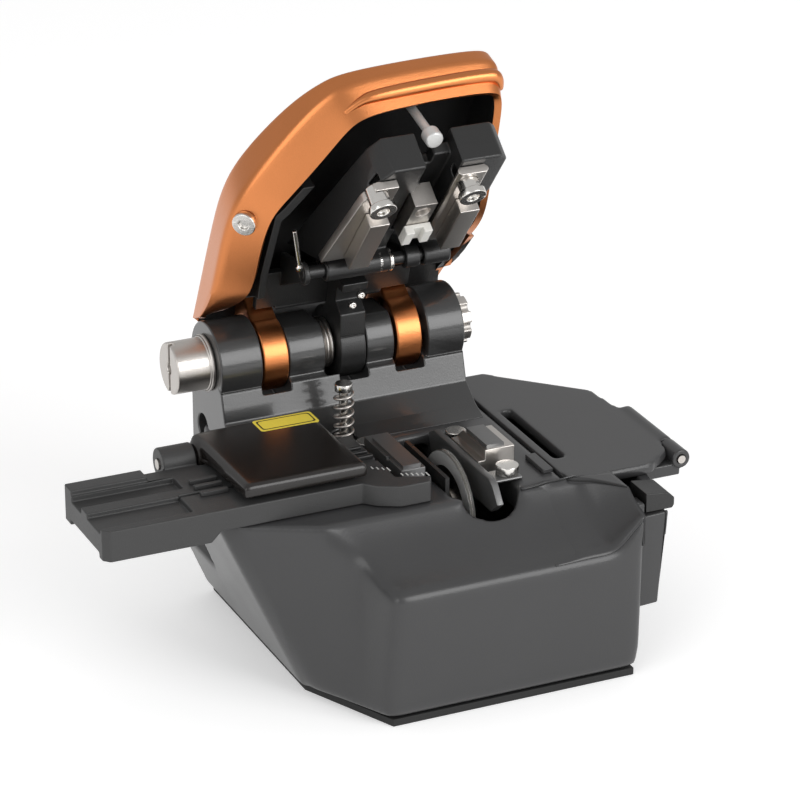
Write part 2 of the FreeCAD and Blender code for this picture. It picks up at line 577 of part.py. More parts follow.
def head_frame():
    """Black carrier: left block with a leaning side, right block, bridge and pivot bores."""
    left = doc.addObject("Part::Loft", "LeftBlock")
    left.Sections = [flat("fibre_z + 5", [("blade_x - 15", "fibre_y + 12"), ("blade_x - 10.4", "head_front + 3"),
                                          ("blade_x - 8.4", "head_front"), ("blade_x - 1.6", "head_front"),
                                          ("blade_x - 1.6", "fibre_y + 12")]),
                     flat("fibre_z + 12.6", [("blade_x - 18", "fibre_y + 17"), ("blade_x - 10.8", "head_front + 3.2"),
                                             ("blade_x - 8.8", "head_front"), ("blade_x - 1.6", "head_front"),
                                             ("blade_x - 1.6", "fibre_y + 17")])]
    left.Solid = True
    left.Ruled = True
    right = prism("XY", [("blade_x + 5.4", "head_y + 4"), ("blade_x + 5.4", "head_front"),
                         ("right_clamp_x + 4.8", "head_front"), ("right_clamp_x + 6.4", "head_front + 1.6"),
                         ("right_clamp_x + 6.4", "fibre_y - 6"), ("right_clamp_x + 2.4", "fibre_y + 6"),
                         ("right_clamp_x + 2.4", "head_y + 4")], "fibre_z + 5", "7.6")
    bridge = block(("left_clamp_x", "head_front + 3", "fibre_z + 8.9"),
                   ("right_clamp_x + 2", "fibre_y + 5", "fibre_z + 11.4"))
    bosses = [rod("X", ("left_clamp_x - 4.6", "head_y", "head_z"), "2.2", "13.2"),
              rod("X", ("blade_x + 5.4", "head_y", "head_z"), "2.2", "5.6"),
              block(("left_clamp_x - 4.6", "head_y - 2.1", "head_z"),
                    ("blade_x - 1.6", "head_y + 2.1", "fibre_z + 7")),
              block(("blade_x + 5.4", "head_y - 2.1", "head_z"),
                    ("blade_x + 11", "head_y + 2.1", "fibre_z + 7"))]
    whole = fuse(left, right, bridge, *bosses)
    pivot = rod("X", ("left_clamp_x - 9", "head_y", "head_z"), "1.24", "32")
    posts = [rod("Z", (x, "fibre_y - 14", "fibre_z - 2"), "2.05", "9")
             for x in ("left_post_x", "right_post_x")]
    slot = block(("blade_x - 1.8", "head_front - 1", "fibre_z + 3"),
                 ("blade_x + 1.8", "head_front + 6", "fibre_z + 14"))
    anvil_room = block(("blade_x - 2.6", "fibre_y - 9.8", "fibre_z + 3"),
                       ("blade_x + 2.9", "fibre_y + 4", "fibre_z + 8.7"))
    return cut(whole, pivot, slot, anvil_room, *posts)


node("head_frame", swung(head_frame(), True))


def clamp_bar(x, width, front, length, low):
    """Steel clamp bar with a chamfered nose, carrying the rubber pad."""
    bar = block((x + " - %s / 2" % width, front, low), (x + " + %s / 2" % width,
                front + " + " + length, "fibre_z + 4.95"))
    return soften(bar, 0.6, lambda edge: along(edge, Vector(0, 1, 0)), "Part::Chamfer")


left_plate = prism("XY", [("left_clamp_x - 6", "fibre_y + 9"), ("left_post_x - 2.6", "fibre_y - 12.6"),
                          ("left_post_x - 0.9", "fibre_y - 16.2"), ("left_post_x + 3.8", "fibre_y - 16.2"),
                          ("left_post_x + 3", "fibre_y + 9")], "fibre_z + 3.2", "1.75")
right_plate = clamp_bar("right_post_x + 0.6", "6.2", "fibre_y - 17", "24", "fibre_z + 3.2")
post_bores = [rod("Z", (x, "fibre_y - 14", "fibre_z"), "2.05", "9") for x in ("left_post_x", "right_post_x")]
node("left_clamp_bar", swung(cut(left_plate, post_bores[0]), True))
node("right_clamp_bar", swung(cut(right_plate, post_bores[1]), True))
node("left_clamp_pad", swung(block(("left_clamp_x - 1.6", "fibre_y - 8", "fibre_z + 0.15"),
                                   ("left_clamp_x + 2.4", "fibre_y + 8", "fibre_z + 3.15")), True))
node("right_clamp_pad", swung(block(("right_clamp_x - 2", "fibre_y - 8", "fibre_z + 0.15"),
                                    ("right_clamp_x + 2", "fibre_y + 6", "fibre_z + 3.15")), True))

posts = []
for clamp in ("left_post_x", "right_post_x"):
    post = rod("Z", (clamp, "fibre_y - 14", "fibre_z + 1"), "2.0", "4")
    head = rod("Z", (clamp, "fibre_y - 14", "fibre_z - 0.3"), "2.6", "1.4")
    socket = rod("Z", (clamp, "fibre_y - 14", "fibre_z - 0.8"), "1.2", "1.3")
    posts.append(cut(fuse(post, head), socket))
node("clamp_post_screws", swung(fuse(*posts), True))

node("head_pivot_pin", swung(rod("X", ("left_clamp_x - 9.1", "head_y", "head_z"), "1.2", "30.2"), True))

anvil_body = cut(block(("blade_x - 2.2", "fibre_y - 9", "fibre_z + 2.4"),
                       ("blade_x + 2.4", "fibre_y + 3", "fibre_z + 7.2")),
                 rod("Z", ("blade_x + 0.1", "fibre_y - 6.4", "fibre_z + 2"), "1.5", "1.6"))
node("anvil_block", swung(anvil_body, True))
fork = cut(block(("blade_x - 2.6", "fibre_y - 2.2", "fibre_z + 0.4"),
                 ("blade_x + 2.8", "fibre_y + 2", "fibre_z + 2.35")),
           block(("blade_x - 0.9", "fibre_y - 3", "fibre_z - 0.1"),
                 ("blade_x + 1.1", "fibre_y + 3", "fibre_z + 1.5")))
node("anvil_fork", swung(fork, True))

# ---------------------------------------------------------------- clamps on the deck

left_rest = cut(block(("left_clamp_x - 1.7", "fibre_y - 6.4", "deck + 0.01"),
                      ("left_clamp_x + 3.2", "fibre_y + 10.8", "fibre_z - 0.9")),
                block(("left_clamp_x - 3", "fibre_y - 0.4", "fibre_z - 1.3"),
                      ("left_clamp_x + 4", "fibre_y + 0.4", "fibre_z")))
node("left_lower_clamp", left_rest)
node("left_lower_pad", block(("left_clamp_x - 1.2", "fibre_y - 6", "fibre_z - 0.9"),
                             ("left_clamp_x + 2.4", "fibre_y + 8", "fibre_z - 0.15")))

plate = prism("YZ", [("slot_front + 0.6", "deck - 2"), ("slot_front + 3.5", "deck - 4.5"),
                     ("slot_back - 2", "deck - 4.5"), ("slot_back - 0.6", "deck + 2.6"),
                     ("slot_back - 3", "fibre_z - 0.9"), ("slot_front + 4.6", "fibre_z - 0.9"),
                     ("slot_front + 3", "deck + 1")], "slot_right - 5.8", "1.4")
lug = block(("slot_right - 5", "fibre_y - 11", "deck + 0.02"), ("slot_right + 1.8", "fibre_y - 6.4", "deck + 0.65"))
node("right_clamp_plate", fuse(plate, lug))
step = prism("YZ", [("fibre_y - 4.4", "deck - 3"), ("fibre_y + 7.8", "deck - 3"),
                    ("fibre_y + 7.8", "deck + 2.4"), ("fibre_y + 5.6", "fibre_z - 0.9"),
                    ("fibre_y - 4.4", "fibre_z - 0.9")], "slot_right - 4.35", "7.6")
node("right_lower_clamp", cut(step, block(("slot_right - 0.3", "fibre_y - 8", "deck - 4"),
                                          ("slot_right + 5", "fibre_y + 9", "deck + 0.01")),
                              block(("slot_right - 5", "fibre_y - 8", "deck + 2"),
                                    ("slot_right - 2.9", "fibre_y + 9", "fibre_z + 1"))))
node("deck_tab", block(("bin_left - 3.1", "fibre_y - 10.6", "deck + 0.01"),
                       ("bin_left - 1", "fibre_y - 2.9", "deck + 0.9")))
node("right_lower_pad", block(("right_clamp_x - 1.8", "fibre_y - 4", "fibre_z - 0.9"),
                              ("right_clamp_x + 1.8", "fibre_y + 5", "fibre_z - 0.15")))
node("guard_plate", block(("slot_left + 0.1", "fibre_y - 9", "deck - 3"),
                          ("slot_left + 0.9", "fibre_y + 9.5", "deck + 2.2")))
deck_screws = [screw("Z", ("right_clamp_x + 0.2", "fibre_y - 8.7", "deck + 0.66"), "2.2", "1.9", "1.1"),
               screw("Z", ("left_clamp_x", "fibre_y + 13.4", "deck + 0.01"), "2.0", "1.8", "1.0"),
               screw("Z", ("right_clamp_x - 1.6", "fibre_y + 10.2", "deck + 0.01"), "2.0", "2.2", "1.0")]
node("deck_screws", fuse(*deck_screws))

# ---------------------------------------------------------------- blade carriage, inside

rails = [rod("Y", (x, "bay_front + 0.05", "bay_floor + 5"), "1.6", "bay_back - bay_front - 0.1")
         for x in ("bay_left + 6", "bay_right - 6")]
node("carriage_rails", fuse(*rails))


def carriage():
    """Slide block on two rails, with the arm that holds the blade's spindle."""
    base = block(("bay_left + 1.5", "blade_y - 9", "bay_floor + 1.5"),
                 ("bay_right - 1.5", "blade_y + 13", "bay_floor + 9"))
    arm = prism("YZ", [("blade_y - 5", "bay_floor + 8"), ("blade_y + 5", "bay_floor + 8"),
                       ("blade_y + 3.4", "blade_z + 3"), ("blade_y - 3.4", "blade_z + 3")],
                "blade_x + 1.1", "2")
    whole = fuse(base, arm)
    holes = [rod("Y", (x, "blade_y - 12", "bay_floor + 5"), "1.65", "28")
             for x in ("bay_left + 6", "bay_right - 6")]
    holes.append(rod("X", ("blade_x", "blade_y", "blade_z"), "1.55", "6"))
    holes.append(rod("X", ("blade_x - 3", "blade_y", "blade_z"), "blade_r + 0.6", "3.9"))
    return cut(whole, *holes)


node("blade_carriage", carriage())

blade_disc = rod("X", ("blade_x - blade_thick / 2", "blade_y", "blade_z"), "blade_r - 1.6", "blade_thick")
edge_left = taper("X", ("blade_x - blade_thick / 2", "blade_y", "blade_z"), "blade_r - 1.7",
                  "blade_r", "blade_thick / 2")
edge_right = taper("X", ("blade_x", "blade_y", "blade_z"), "blade_r", "blade_r - 1.7",
                   "blade_thick / 2")
node("blade_wheel", cut(fuse(blade_disc, edge_left, edge_right),
                        rod("X", ("blade_x - 2", "blade_y", "blade_z"), "1.5", "4")))
hub = fuse(rod("X", ("blade_x - 1.6", "blade_y", "blade_z"), "3.4", "1.05"),
           rod("X", ("blade_x - 1.6", "blade_y", "blade_z"), "1.49", "6"))
node("blade_spindle", hub)

# ---------------------------------------------------------------- fibre holder


def holder():
    """Sliding adapter plate: thick tail with rails and pockets, thin blade-side tongue."""
    body = new_body("Holder")
    plan = [("holder_left", "holder_front + 1.2"), ("holder_left + 1.2", "holder_front"),
            ("block_left + 2", "holder_front"), ("block_left + 4", "holder_front - 2.2"),
            ("block_left + 8", "holder_front - 4.2"), ("holder_right - 1", "holder_front - 4.2"),
            ("holder_right", "holder_front - 2"), ("holder_right - 6.2", "fibre_y - 8.6"),
            ("holder_right - 6.2", "holder_back"), ("holder_left", "holder_back")]
    pad(body, "XY_Plane", plan, "holder_thick", "holder_top - holder_thick")
    step = [("wing_left - 3.4", "holder_thick - 1"), ("wing_left - 0.5", "holder_thin"),
            ("holder_right + 2", "holder_thin"), ("holder_right + 2", "holder_thick - 1")]
    pocket(body, "XZ_Plane", step, "-holder_back - 2", "40")
    # channel under the tail, fibre channel and shallow pocket on top
    pocket(body, "YZ_Plane", [("holder_front + 3", "holder_thick - 1"), ("holder_back - 3", "holder_thick - 1"),
                              ("holder_back - 3", "holder_thick + 1"), ("holder_front + 3", "holder_thick + 1")],
           "holder_left - 2", "wing_left - holder_left - 2")
    pocket(body, "XY_Plane", [("holder_left - 1", "fibre_y + 3"), ("holder_left + 20", "fibre_y + 3"),
                              ("holder_left + 20", "fibre_y + 8"), ("holder_left - 1", "fibre_y + 8")],
           "holder_top - 1.2", "3")
    pocket(body, "XY_Plane", [("holder_left - 1", "fibre_y - 7"), ("holder_left + 18", "fibre_y - 7"),
                              ("holder_left + 18", "fibre_y - 0.2"), ("holder_left - 1", "fibre_y - 0.2")],
           "holder_top - 1.0", "3")
    pocket(body, "XY_Plane", [("holder_left + 18", "fibre_y - 0.45"), ("holder_right + 1", "fibre_y - 0.45"),
                              ("holder_right + 1", "fibre_y + 0.45"), ("holder_left + 18", "fibre_y + 0.45")],
           "holder_top - 1.0", "3")
    return body


tail_rail = block(("holder_left", "fibre_y + 8.2", "holder_top - 0.1"),
                  ("holder_left + 15", "holder_back", "holder_top + 1.0"))
knuckle = rod("X", ("holder_left + 19.6", "cover_y", "cover_z"), "cover_r", "6.6")
knuckle_foot = block(("holder_left + 19.6", "holder_back - 1", "holder_thin + 0.4"),
                     ("holder_left + 26.2", "cover_y + 1.2", "cover_z"))
cover_bore = rod("X", ("holder_left + 19", "cover_y", "cover_z"), "1.06", "30")
barrel_room = rod("X", ("holder_left + 26.2", "cover_y", "cover_z"), "cover_r + 0.3", "18.2")
node("fibre_holder", cut(fuse(cut(holder(), barrel_room), tail_rail, knuckle, knuckle_foot), cover_bore))
ribs = [block(("holder_left + 21.5", "fibre_y + %s" % y, "holder_top"),
              ("holder_left + 27", "fibre_y + %s" % (y + 0.9), "holder_top + 0.9")) for y in (3.4, 0.9, -2.2)]
node("holder_ribs", fuse(*ribs))
node("cover_hinge_pin", rod("X", ("holder_left + 19.3", "cover_y", "cover_z"), "1.0", "25"))


def cover():
    """Flap over the fibre, with a rolled front edge and its hinge barrel at the back."""
    body = new_body("Cover")
    plan = [("holder_left + 27.6", "holder_front + 0.4"), ("block_left + 3.4", "holder_front + 0.4"),
            ("block_left + 3", "cover_y + 1"), ("block_left - 1", "cover_y + 3.2"),
            ("block_left - 9", "cover_y + 3.4"), ("holder_left + 27", "cover_y + 2.6")]
    pad(body, "XY_Plane", plan, "holder_top + 1.0", "2.8")
    dress(body, "Fillet", 1.2, lambda edge: at(edge, z=measure("holder_top") + 3.8)
          and edge.CenterOfMass.y < 0)
    dress(body, "Chamfer", 1.6, lambda edge: at(edge, z=measure("holder_top") + 1.0)
          and edge.CenterOfMass.y > measure("cover_y") + 1)
    barrel = rod("X", ("holder_left + 26.5", "cover_y", "cover_z"), "cover_r", "17.5")
    keep = rod("X", ("holder_left + 17", "cover_y", "cover_z"), "1.06", "40")
    relief = rod("X", ("holder_left + 17", "cover_y", "cover_z"), "cover_r + 0.3", "9.5")
    return cut(fuse(body, barrel), keep, relief)


node("holder_cover", cover())
node("cover_pad", block(("holder_left + 31", "fibre_y - 5", "holder_top + 0.1"),
                        ("block_left", "fibre_y + 5", "holder_top + 1.0")))

# ---------------------------------------------------------------- scrap bin


def bin_front(grow):
    """The bin's front-left corner, which both tub and cover share."""
    return [("bin_left - (%s)" % grow, "front + 19.5"), ("bin_left + 0.4 - (%s)" % grow, "front + 14.6"),
            ("bin_left + 3 - 0.7 * (%s)" % grow, "front + 12 - 0.7 * (%s)" % grow)]


def tub_outline(grow, taper_in="0"):
    """The tub's plan, grown or shrunk; its right side draws in towards the floor."""
    return bin_front(grow) + [
        ("bin_left + 8.6", "front + 4.1 - (%s)" % grow),
        ("right + 6.2 + (%s) - 0.3 * (%s)" % (grow, taper_in), "front + 4.6 - (%s)" % grow),
        ("right + 8 + (%s) - (%s)" % (grow, taper_in), "front + 19"),
        ("right + 8.2 + (%s) - (%s)" % (grow, taper_in), "front + 41"),
        ("right + 7.6 + (%s) - (%s)" % (grow, taper_in), "back - 17"),
        ("right - 2.5", "back - 0.6 + (%s)" % grow),
        ("bin_left - (%s)" % grow, "back - 0.6 + (%s)" % grow)]


COVER_OUTLINE = bin_front("0") + [
    ("bin_left + 6", "front + 9.6"), ("bin_left + 8.6", "front + 6.6"), ("right + 0.6", "front + 6.4"),
    ("right + 1.4", "front + 9.4"), ("right + 13.8", "front + 19.6"), ("right + 14.6", "front + 23"),
    ("right + 14.6", "front + 41"), ("right + 13.5", "back - 17"), ("right - 2.5", "back - 0.6"),
    ("bin_left", "back - 0.6")]


def bin_tub():
    """Tub that tapers to its floor, with its cavity and a finger tab pocket."""
    body = new_body("BinTub")
    outer = body.newObject("PartDesign::AdditiveLoft", "BinTubOuter")
    outer.Profile = sketch_on(body, "XY_Plane", tub_outline("0", "5"), "bin_floor")
    outer.Sections = [sketch_on(body, "XY_Plane", tub_outline("0"), "deck - bin_skin - 0.1")]
    outer.Ruled = True
    doc.recompute()
    inner = body.newObject("PartDesign::SubtractiveLoft", "BinTubInner")
    inner.Profile = sketch_on(body, "XY_Plane", tub_outline("-bin_wall", "5"), "bin_floor + bin_wall")
    inner.Sections = [sketch_on(body, "XY_Plane", tub_outline("-bin_wall"), "deck")]
    inner.Ruled = True
    doc.recompute()
    return body


def scoop_tool(grow):
    """The housing's scoop again, to shape what lies flush with it."""
    return fuse(rod("X", ("wing_left", "scoop_y", "scoop_radius + 27"), "scoop_radius + %s" % grow,
                    "scoop_end - wing_left"),
                taper("X", ("scoop_end", "scoop_y", "scoop_radius + 27"), "scoop_radius + %s" % grow,
                      "scoop_radius - 8 + %s" % grow, "8"))


hinge_start = ("bin_hinge_x", "front + 17.6", "bin_hinge_z")
tub_lug = fuse(rod("Y", hinge_start, "bin_hinge_r", "6"),
               block(("right + 6", "front + 18", "bin_hinge_z - 3.4"),
                     ("bin_hinge_x", "front + 23.4", "bin_hinge_z - 0.9")))
shelf = block(("bin_left + 9.2", "front + 4.8", "deck - 10"),
              ("right + 6.2", "front + 7.9", "deck - bin_skin - 0.1"))
tub = cut(fuse(bin_tub(), tub_lug, shelf), rod("Y", ("bin_hinge_x", "front + 10", "bin_hinge_z"), "0.85", "40"),
          block(("right + 1.2", "front + 4", "deck - 5"), ("right + 9.6", "front + 12.2", "deck + 1")),
          scoop_tool("0.02"), rod("Y", ("bin_hinge_x", "front + 23.6", "bin_hinge_z"), "bin_hinge_r + 0.3", "18"))
node("scrap_bin", tub)


def bin_cover():
    """Flush cover with a fibre slot, a finger tab and the rest of the hinge barrel."""
    body = new_body("BinCover")
    pad(body, "XY_Plane", COVER_OUTLINE, "deck - bin_skin", "bin_skin")
    pocket(body, "XY_Plane", [("bin_left + 2.2", "front + 25"), ("bin_left + 4.4", "front + 25"),
                              ("bin_left + 4.4", "front + 49"), ("bin_left + 2.2", "front + 49")],
           "deck - bin_skin - 1", "5")
    return body


barrel = fuse(rod("Y", ("bin_hinge_x", "front + 24", "bin_hinge_z"), "bin_hinge_r", "17"),
              block(("right + 12", "front + 24", "bin_hinge_z - 0.6"),
                    ("bin_hinge_x", "front + 41", "deck")))
plug = prism("XY", [("bin_left + 1.95", "front + 19.5"), ("bin_left + 2.35", "front + 15"),
                    ("bin_left + 4.5", "front + 13.4"), ("bin_left + 8.8", "front + 8.4"),
                    ("right + 0.8", "front + 8.4"), ("right + 0.8", "front + 19.5")], "deck - 6.6", "5")
node("bin_cover", cut(fuse(bin_cover(), barrel, plug),
                      rod("Y", ("bin_hinge_x", "front + 10", "bin_hinge_z"), "0.85", "40"),
                      rod("Y", ("bin_hinge_x", "front + 10", "bin_hinge_z"), "bin_hinge_r + 0.3", "13.7"),
                      scoop_tool("0"), block(("right + 1.6", "front + 4", "deck - 9"),
                                             ("right + 9.6", "front + 12.2", "deck + 1"))))
node("bin_hinge_pin", rod("Y", ("bin_hinge_x", "front + 17.4", "bin_hinge_z"), "0.8", "24"))
latch_profile = [("right + 1.8", "deck - 4.7"), ("right + 7.4", "deck - 4.7"), ("right + 7.8", "deck - 4"),
                 ("right + 7.8", "deck - 2.6"), ("right + 6.6", "deck - 1.4"), ("right + 1.8", "deck - 0.8")]
node("bin_latch", prism("XZ", latch_profile, "front + 11.6", "6.6"))

# ---------------------------------------------------------------- return plunger behind the slot

node("plunger_pin", fuse(rod("Z", (post_x, post_y, "deck - 6"), "0.9", "17"),
                         rod("Z", (post_x, post_y, "deck + 10.4"), "1.7", "1.6")))


def plunger_spring():
    """Round-wire compression spring, five turns."""
    radius, wire, pitch = 1.75, 0.28, 1.94
    helix = Part.makeHelix(pitch, 5 * pitch, radius)
    section = Part.Wire(Part.makeCircle(wire, Vector(radius, 0, 0), Vector(0, 1, 0)))
    coil = Part.Wire(helix).makePipeShell([section], True, True)
    item = doc.addObject("Part::Feature", "PlungerSpring")
    item.Shape = coil
    item.Placement = Placement(Vector(measure(post_x), measure(post_y), measure("deck + 0.3")),
                               Rotation())
    return item


node("plunger_spring", plunger_spring())


def check_and_write():
    """Recompute, refuse any failed object, and write every sub-part."""
    doc.recompute()
    for item in doc.Objects:
        if "Invalid" in item.State or "Error" in item.State:
            raise RuntimeError("%s failed: %s" % (item.Name, item.State))
    os.makedirs("parts", exist_ok=True)
    for name, item in NODES.items():
        shape = item.Shape
        if shape.isNull() or not shape.isValid() or not shape.Solids:
            raise RuntimeError("%s has no valid solid" % name)
        shape.exportStep("parts/%s.step" % name)


check_and_write()
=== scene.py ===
"""Fibre cleaver with its lid open: the finish of every part, the soft cast skins, the arched
lid with its rolled lip and the small fittings, on a pale studio floor."""

import json
import math

import bmesh
import bpy
from bpy.props import FloatProperty, FloatVectorProperty, IntProperty, PointerProperty
from mathutils import Matrix, Vector


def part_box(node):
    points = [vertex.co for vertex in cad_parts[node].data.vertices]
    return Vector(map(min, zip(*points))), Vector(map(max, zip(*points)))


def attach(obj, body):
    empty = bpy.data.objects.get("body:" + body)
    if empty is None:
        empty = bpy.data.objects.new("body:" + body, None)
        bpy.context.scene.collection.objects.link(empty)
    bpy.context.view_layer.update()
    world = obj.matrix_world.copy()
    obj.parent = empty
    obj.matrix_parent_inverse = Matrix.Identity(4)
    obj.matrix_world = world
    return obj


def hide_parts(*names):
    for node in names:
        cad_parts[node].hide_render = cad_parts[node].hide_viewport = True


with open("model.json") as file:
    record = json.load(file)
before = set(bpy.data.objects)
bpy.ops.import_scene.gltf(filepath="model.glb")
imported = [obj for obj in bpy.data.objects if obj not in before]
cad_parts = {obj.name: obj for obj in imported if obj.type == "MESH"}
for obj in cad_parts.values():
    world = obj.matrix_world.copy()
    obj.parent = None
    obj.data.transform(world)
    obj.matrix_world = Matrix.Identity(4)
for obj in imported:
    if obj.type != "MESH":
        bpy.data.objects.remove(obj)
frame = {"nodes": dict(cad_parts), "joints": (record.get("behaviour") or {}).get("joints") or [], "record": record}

bl_info = {
    "name": "Fibre Cleaver",
    "version": (1, 0, 0),
    "blender": (4, 5, 0),
    "location": "View3D > Sidebar > Cleaver",
    "description": "Finishes, soft castings, lid and small fittings of a fibre cleaver",
    "category": "Object",
}

# ------------------------------------------------------------------ settings


class CleaverPaint(bpy.types.PropertyGroup):
    """Colours of the finishes."""
    body: FloatVectorProperty(
        name="Body", description="Satin paint of the housing, the bin and its cover",
        subtype="COLOR", size=3, min=0.0, max=1.0, default=(0.042, 0.042, 0.043))
    black: FloatVectorProperty(
        name="Black parts", description="Black coating of the clamp head, the lever and the pins",
        subtype="COLOR", size=3, min=0.0, max=1.0, default=(0.015, 0.015, 0.015))
    holder: FloatVectorProperty(
        name="Holder", description="Matt grey of the fibre holder",
        subtype="COLOR", size=3, min=0.0, max=1.0, default=(0.036, 0.036, 0.036))
    orange: FloatVectorProperty(
        name="Lid", description="Copper coating of the lid and its two arms",
        subtype="COLOR", size=3, min=0.0, max=1.0, default=(0.63, 0.225, 0.080))
    steel: FloatVectorProperty(
        name="Steel", description="Ground steel of the clamp bars and blocks",
        subtype="COLOR", size=3, min=0.0, max=1.0, default=(0.56, 0.53, 0.50))
    patch: FloatVectorProperty(
        name="Patch", description="Plain yellow patch on the holder's flap",
        subtype="COLOR", size=3, min=0.0, max=1.0, default=(0.84, 0.68, 0.08))


class CleaverCasting(bpy.types.PropertyGroup):
    """Softness of the edges and of the cast skins."""
    edge: FloatProperty(
        name="Edge rounding", description="Rounding of a part with a share of 1",
        subtype="DISTANCE", unit="LENGTH", precision=5, min=0.0, max=0.001, default=0.00028)
    housing_cell: FloatProperty(
        name="Housing cells", description="Size of the cells in the housing's skin",
        subtype="DISTANCE", unit="LENGTH", precision=5, min=0.0004, max=0.002, default=0.0007)
    cover_cell: FloatProperty(
        name="Bin cover cells", description="Size of the cells in the bin cover's skin",
        subtype="DISTANCE", unit="LENGTH", precision=5, min=0.0003, max=0.002, default=0.00045)
    flap_cell: FloatProperty(
        name="Flap cells", description="Size of the cells in the flap's skin",
        subtype="DISTANCE", unit="LENGTH", precision=5, min=0.0002, max=0.002, default=0.0003)
    front_wear: IntProperty(
        name="Front wear", description="Extra rounds of smoothing on the scooped front block",
        min=0, max=60, default=20)


class CleaverLid(bpy.types.PropertyGroup):
    """Sizes of the lid."""
    wall: FloatProperty(
        name="Wall", description="Thickness of the lid's shell",
        subtype="DISTANCE", unit="LENGTH", precision=5, min=0.0005, max=0.003, default=0.0014)
    lip: FloatProperty(
        name="Lip", description="Radius of the rolled bead along the front",
        subtype="DISTANCE", unit="LENGTH", precision=5, min=0.0005, max=0.003, default=0.00135)
    arm: FloatProperty(
        name="Arm width", description="Width of each arm round the hinge's shaft",
        subtype="DISTANCE", unit="LENGTH", precision=5, min=0.002, max=0.008, default=0.0053)


class CleaverMarks(bpy.types.PropertyGroup):
    """Sizes of the plain printed marks."""
    thick: FloatProperty(
        name="Print thickness", description="How far a printed mark stands off its face",
        subtype="DISTANCE", unit="LENGTH", precision=5, min=0.00001, max=0.0002, default=0.00004)
    ticks: IntProperty(
        name="Scale ticks", description="Number of ticks in the front row of the scale",
        min=2, max=12, default=6)


class CleaverLight(bpy.types.PropertyGroup):
    """Strength of the studio lights."""
    key: FloatProperty(
        name="Key", description="Power of the main softbox", unit="POWER", min=0.0, default=3.4)
    fill: FloatProperty(
        name="Fill", description="Power of the softbox on the left", unit="POWER", min=0.0, default=1.3)
    room: FloatProperty(
        name="Room", description="Strength of the light from all round", min=0.0, default=0.62)
    spread: FloatProperty(
        name="Softbox size", description="Width of both softboxes",
        subtype="DISTANCE", unit="LENGTH", min=0.05, max=3.0, default=0.5)


SETTINGS = {"cleaver_paint": CleaverPaint, "cleaver_casting": CleaverCasting, "cleaver_lid": CleaverLid,
            "cleaver_marks": CleaverMarks, "cleaver_light": CleaverLight}

# ------------------------------------------------------------------ finishes


def worked_out(tree, operation, *values):
    """Result of a sum on sockets and plain numbers."""
    node = tree.nodes.new("ShaderNodeMath")
    node.operation = operation
    for socket, value in zip(node.inputs, values):
        if isinstance(value, bpy.types.NodeSocket):
            tree.links.new(value, socket)
        else:
            socket.default_value = value
    return node.outputs[0]


def noise(tree, vector, detail, scale):
    """Noise over the object at a scale, which is a number or a socket."""
    node = tree.nodes.new("ShaderNodeTexNoise")
    node.inputs["Detail"].default_value = detail
    tree.links.new(vector, node.inputs["Vector"])
    if isinstance(scale, bpy.types.NodeSocket):
        tree.links.new(scale, node.inputs["Scale"])
    else:
        node.inputs["Scale"].default_value = scale
    return node.outputs["Fac"]


GRAIN_DEPTH = 0.0002
CLOUD_SCALE = 90.0
DARKEST, PALEST = 0.88, 1.12
GRAIN_INPUTS = (("Scale", 2500.0), ("Depth", 0.1), ("Rough", 0.4), ("Uneven", 0.1))
GRAIN_OUTPUTS = (("Shade", "NodeSocketFloat"), ("Roughness", "NodeSocketFloat"),
                 ("Normal", "NodeSocketVector"))


def grain_group():
    """Fine grain of a coated face: a shade, a roughness and a normal that change over it."""
    name = "Cleaver Grain"
    if name in bpy.data.node_groups:
        return bpy.data.node_groups[name]
    group = bpy.data.node_groups.new(name, "ShaderNodeTree")
    for label, value in GRAIN_INPUTS:
        socket = group.interface.new_socket(name=label, in_out="INPUT", socket_type="NodeSocketFloat")
        socket.default_value = value
    for label, kind in GRAIN_OUTPUTS:
        group.interface.new_socket(name=label, in_out="OUTPUT", socket_type=kind)
    start = group.nodes.new("NodeGroupInput")
    end = group.nodes.new("NodeGroupOutput")
    place = group.nodes.new("ShaderNodeTexCoord").outputs["Object"]
    fine = noise(group, place, 3.0, start.outputs["Scale"])
    cloud = noise(group, place, 4.0, CLOUD_SCALE)
    bump = group.nodes.new("ShaderNodeBump")
    bump.inputs["Distance"].default_value = GRAIN_DEPTH
    group.links.new(fine, bump.inputs["Height"])
    group.links.new(start.outputs["Depth"], bump.inputs["Strength"])
    centred = worked_out(group, "SUBTRACT", cloud, 0.5)
    rough = worked_out(group, "MULTIPLY_ADD", centred, start.outputs["Uneven"], start.outputs["Rough"])
    half_cloud = worked_out(group, "MULTIPLY", cloud, 0.5)
    mixed = worked_out(group, "MULTIPLY_ADD", fine, 0.5, half_cloud)
    shade = group.nodes.new("ShaderNodeMapRange")
    shade.inputs["To Min"].default_value = DARKEST
    shade.inputs["To Max"].default_value = PALEST
    group.links.new(mixed, shade.inputs["Value"])
    group.links.new(shade.outputs[0], end.inputs["Shade"])
    group.links.new(rough, end.inputs["Roughness"])
    group.links.new(bump.outputs[0], end.inputs["Normal"])
    return group


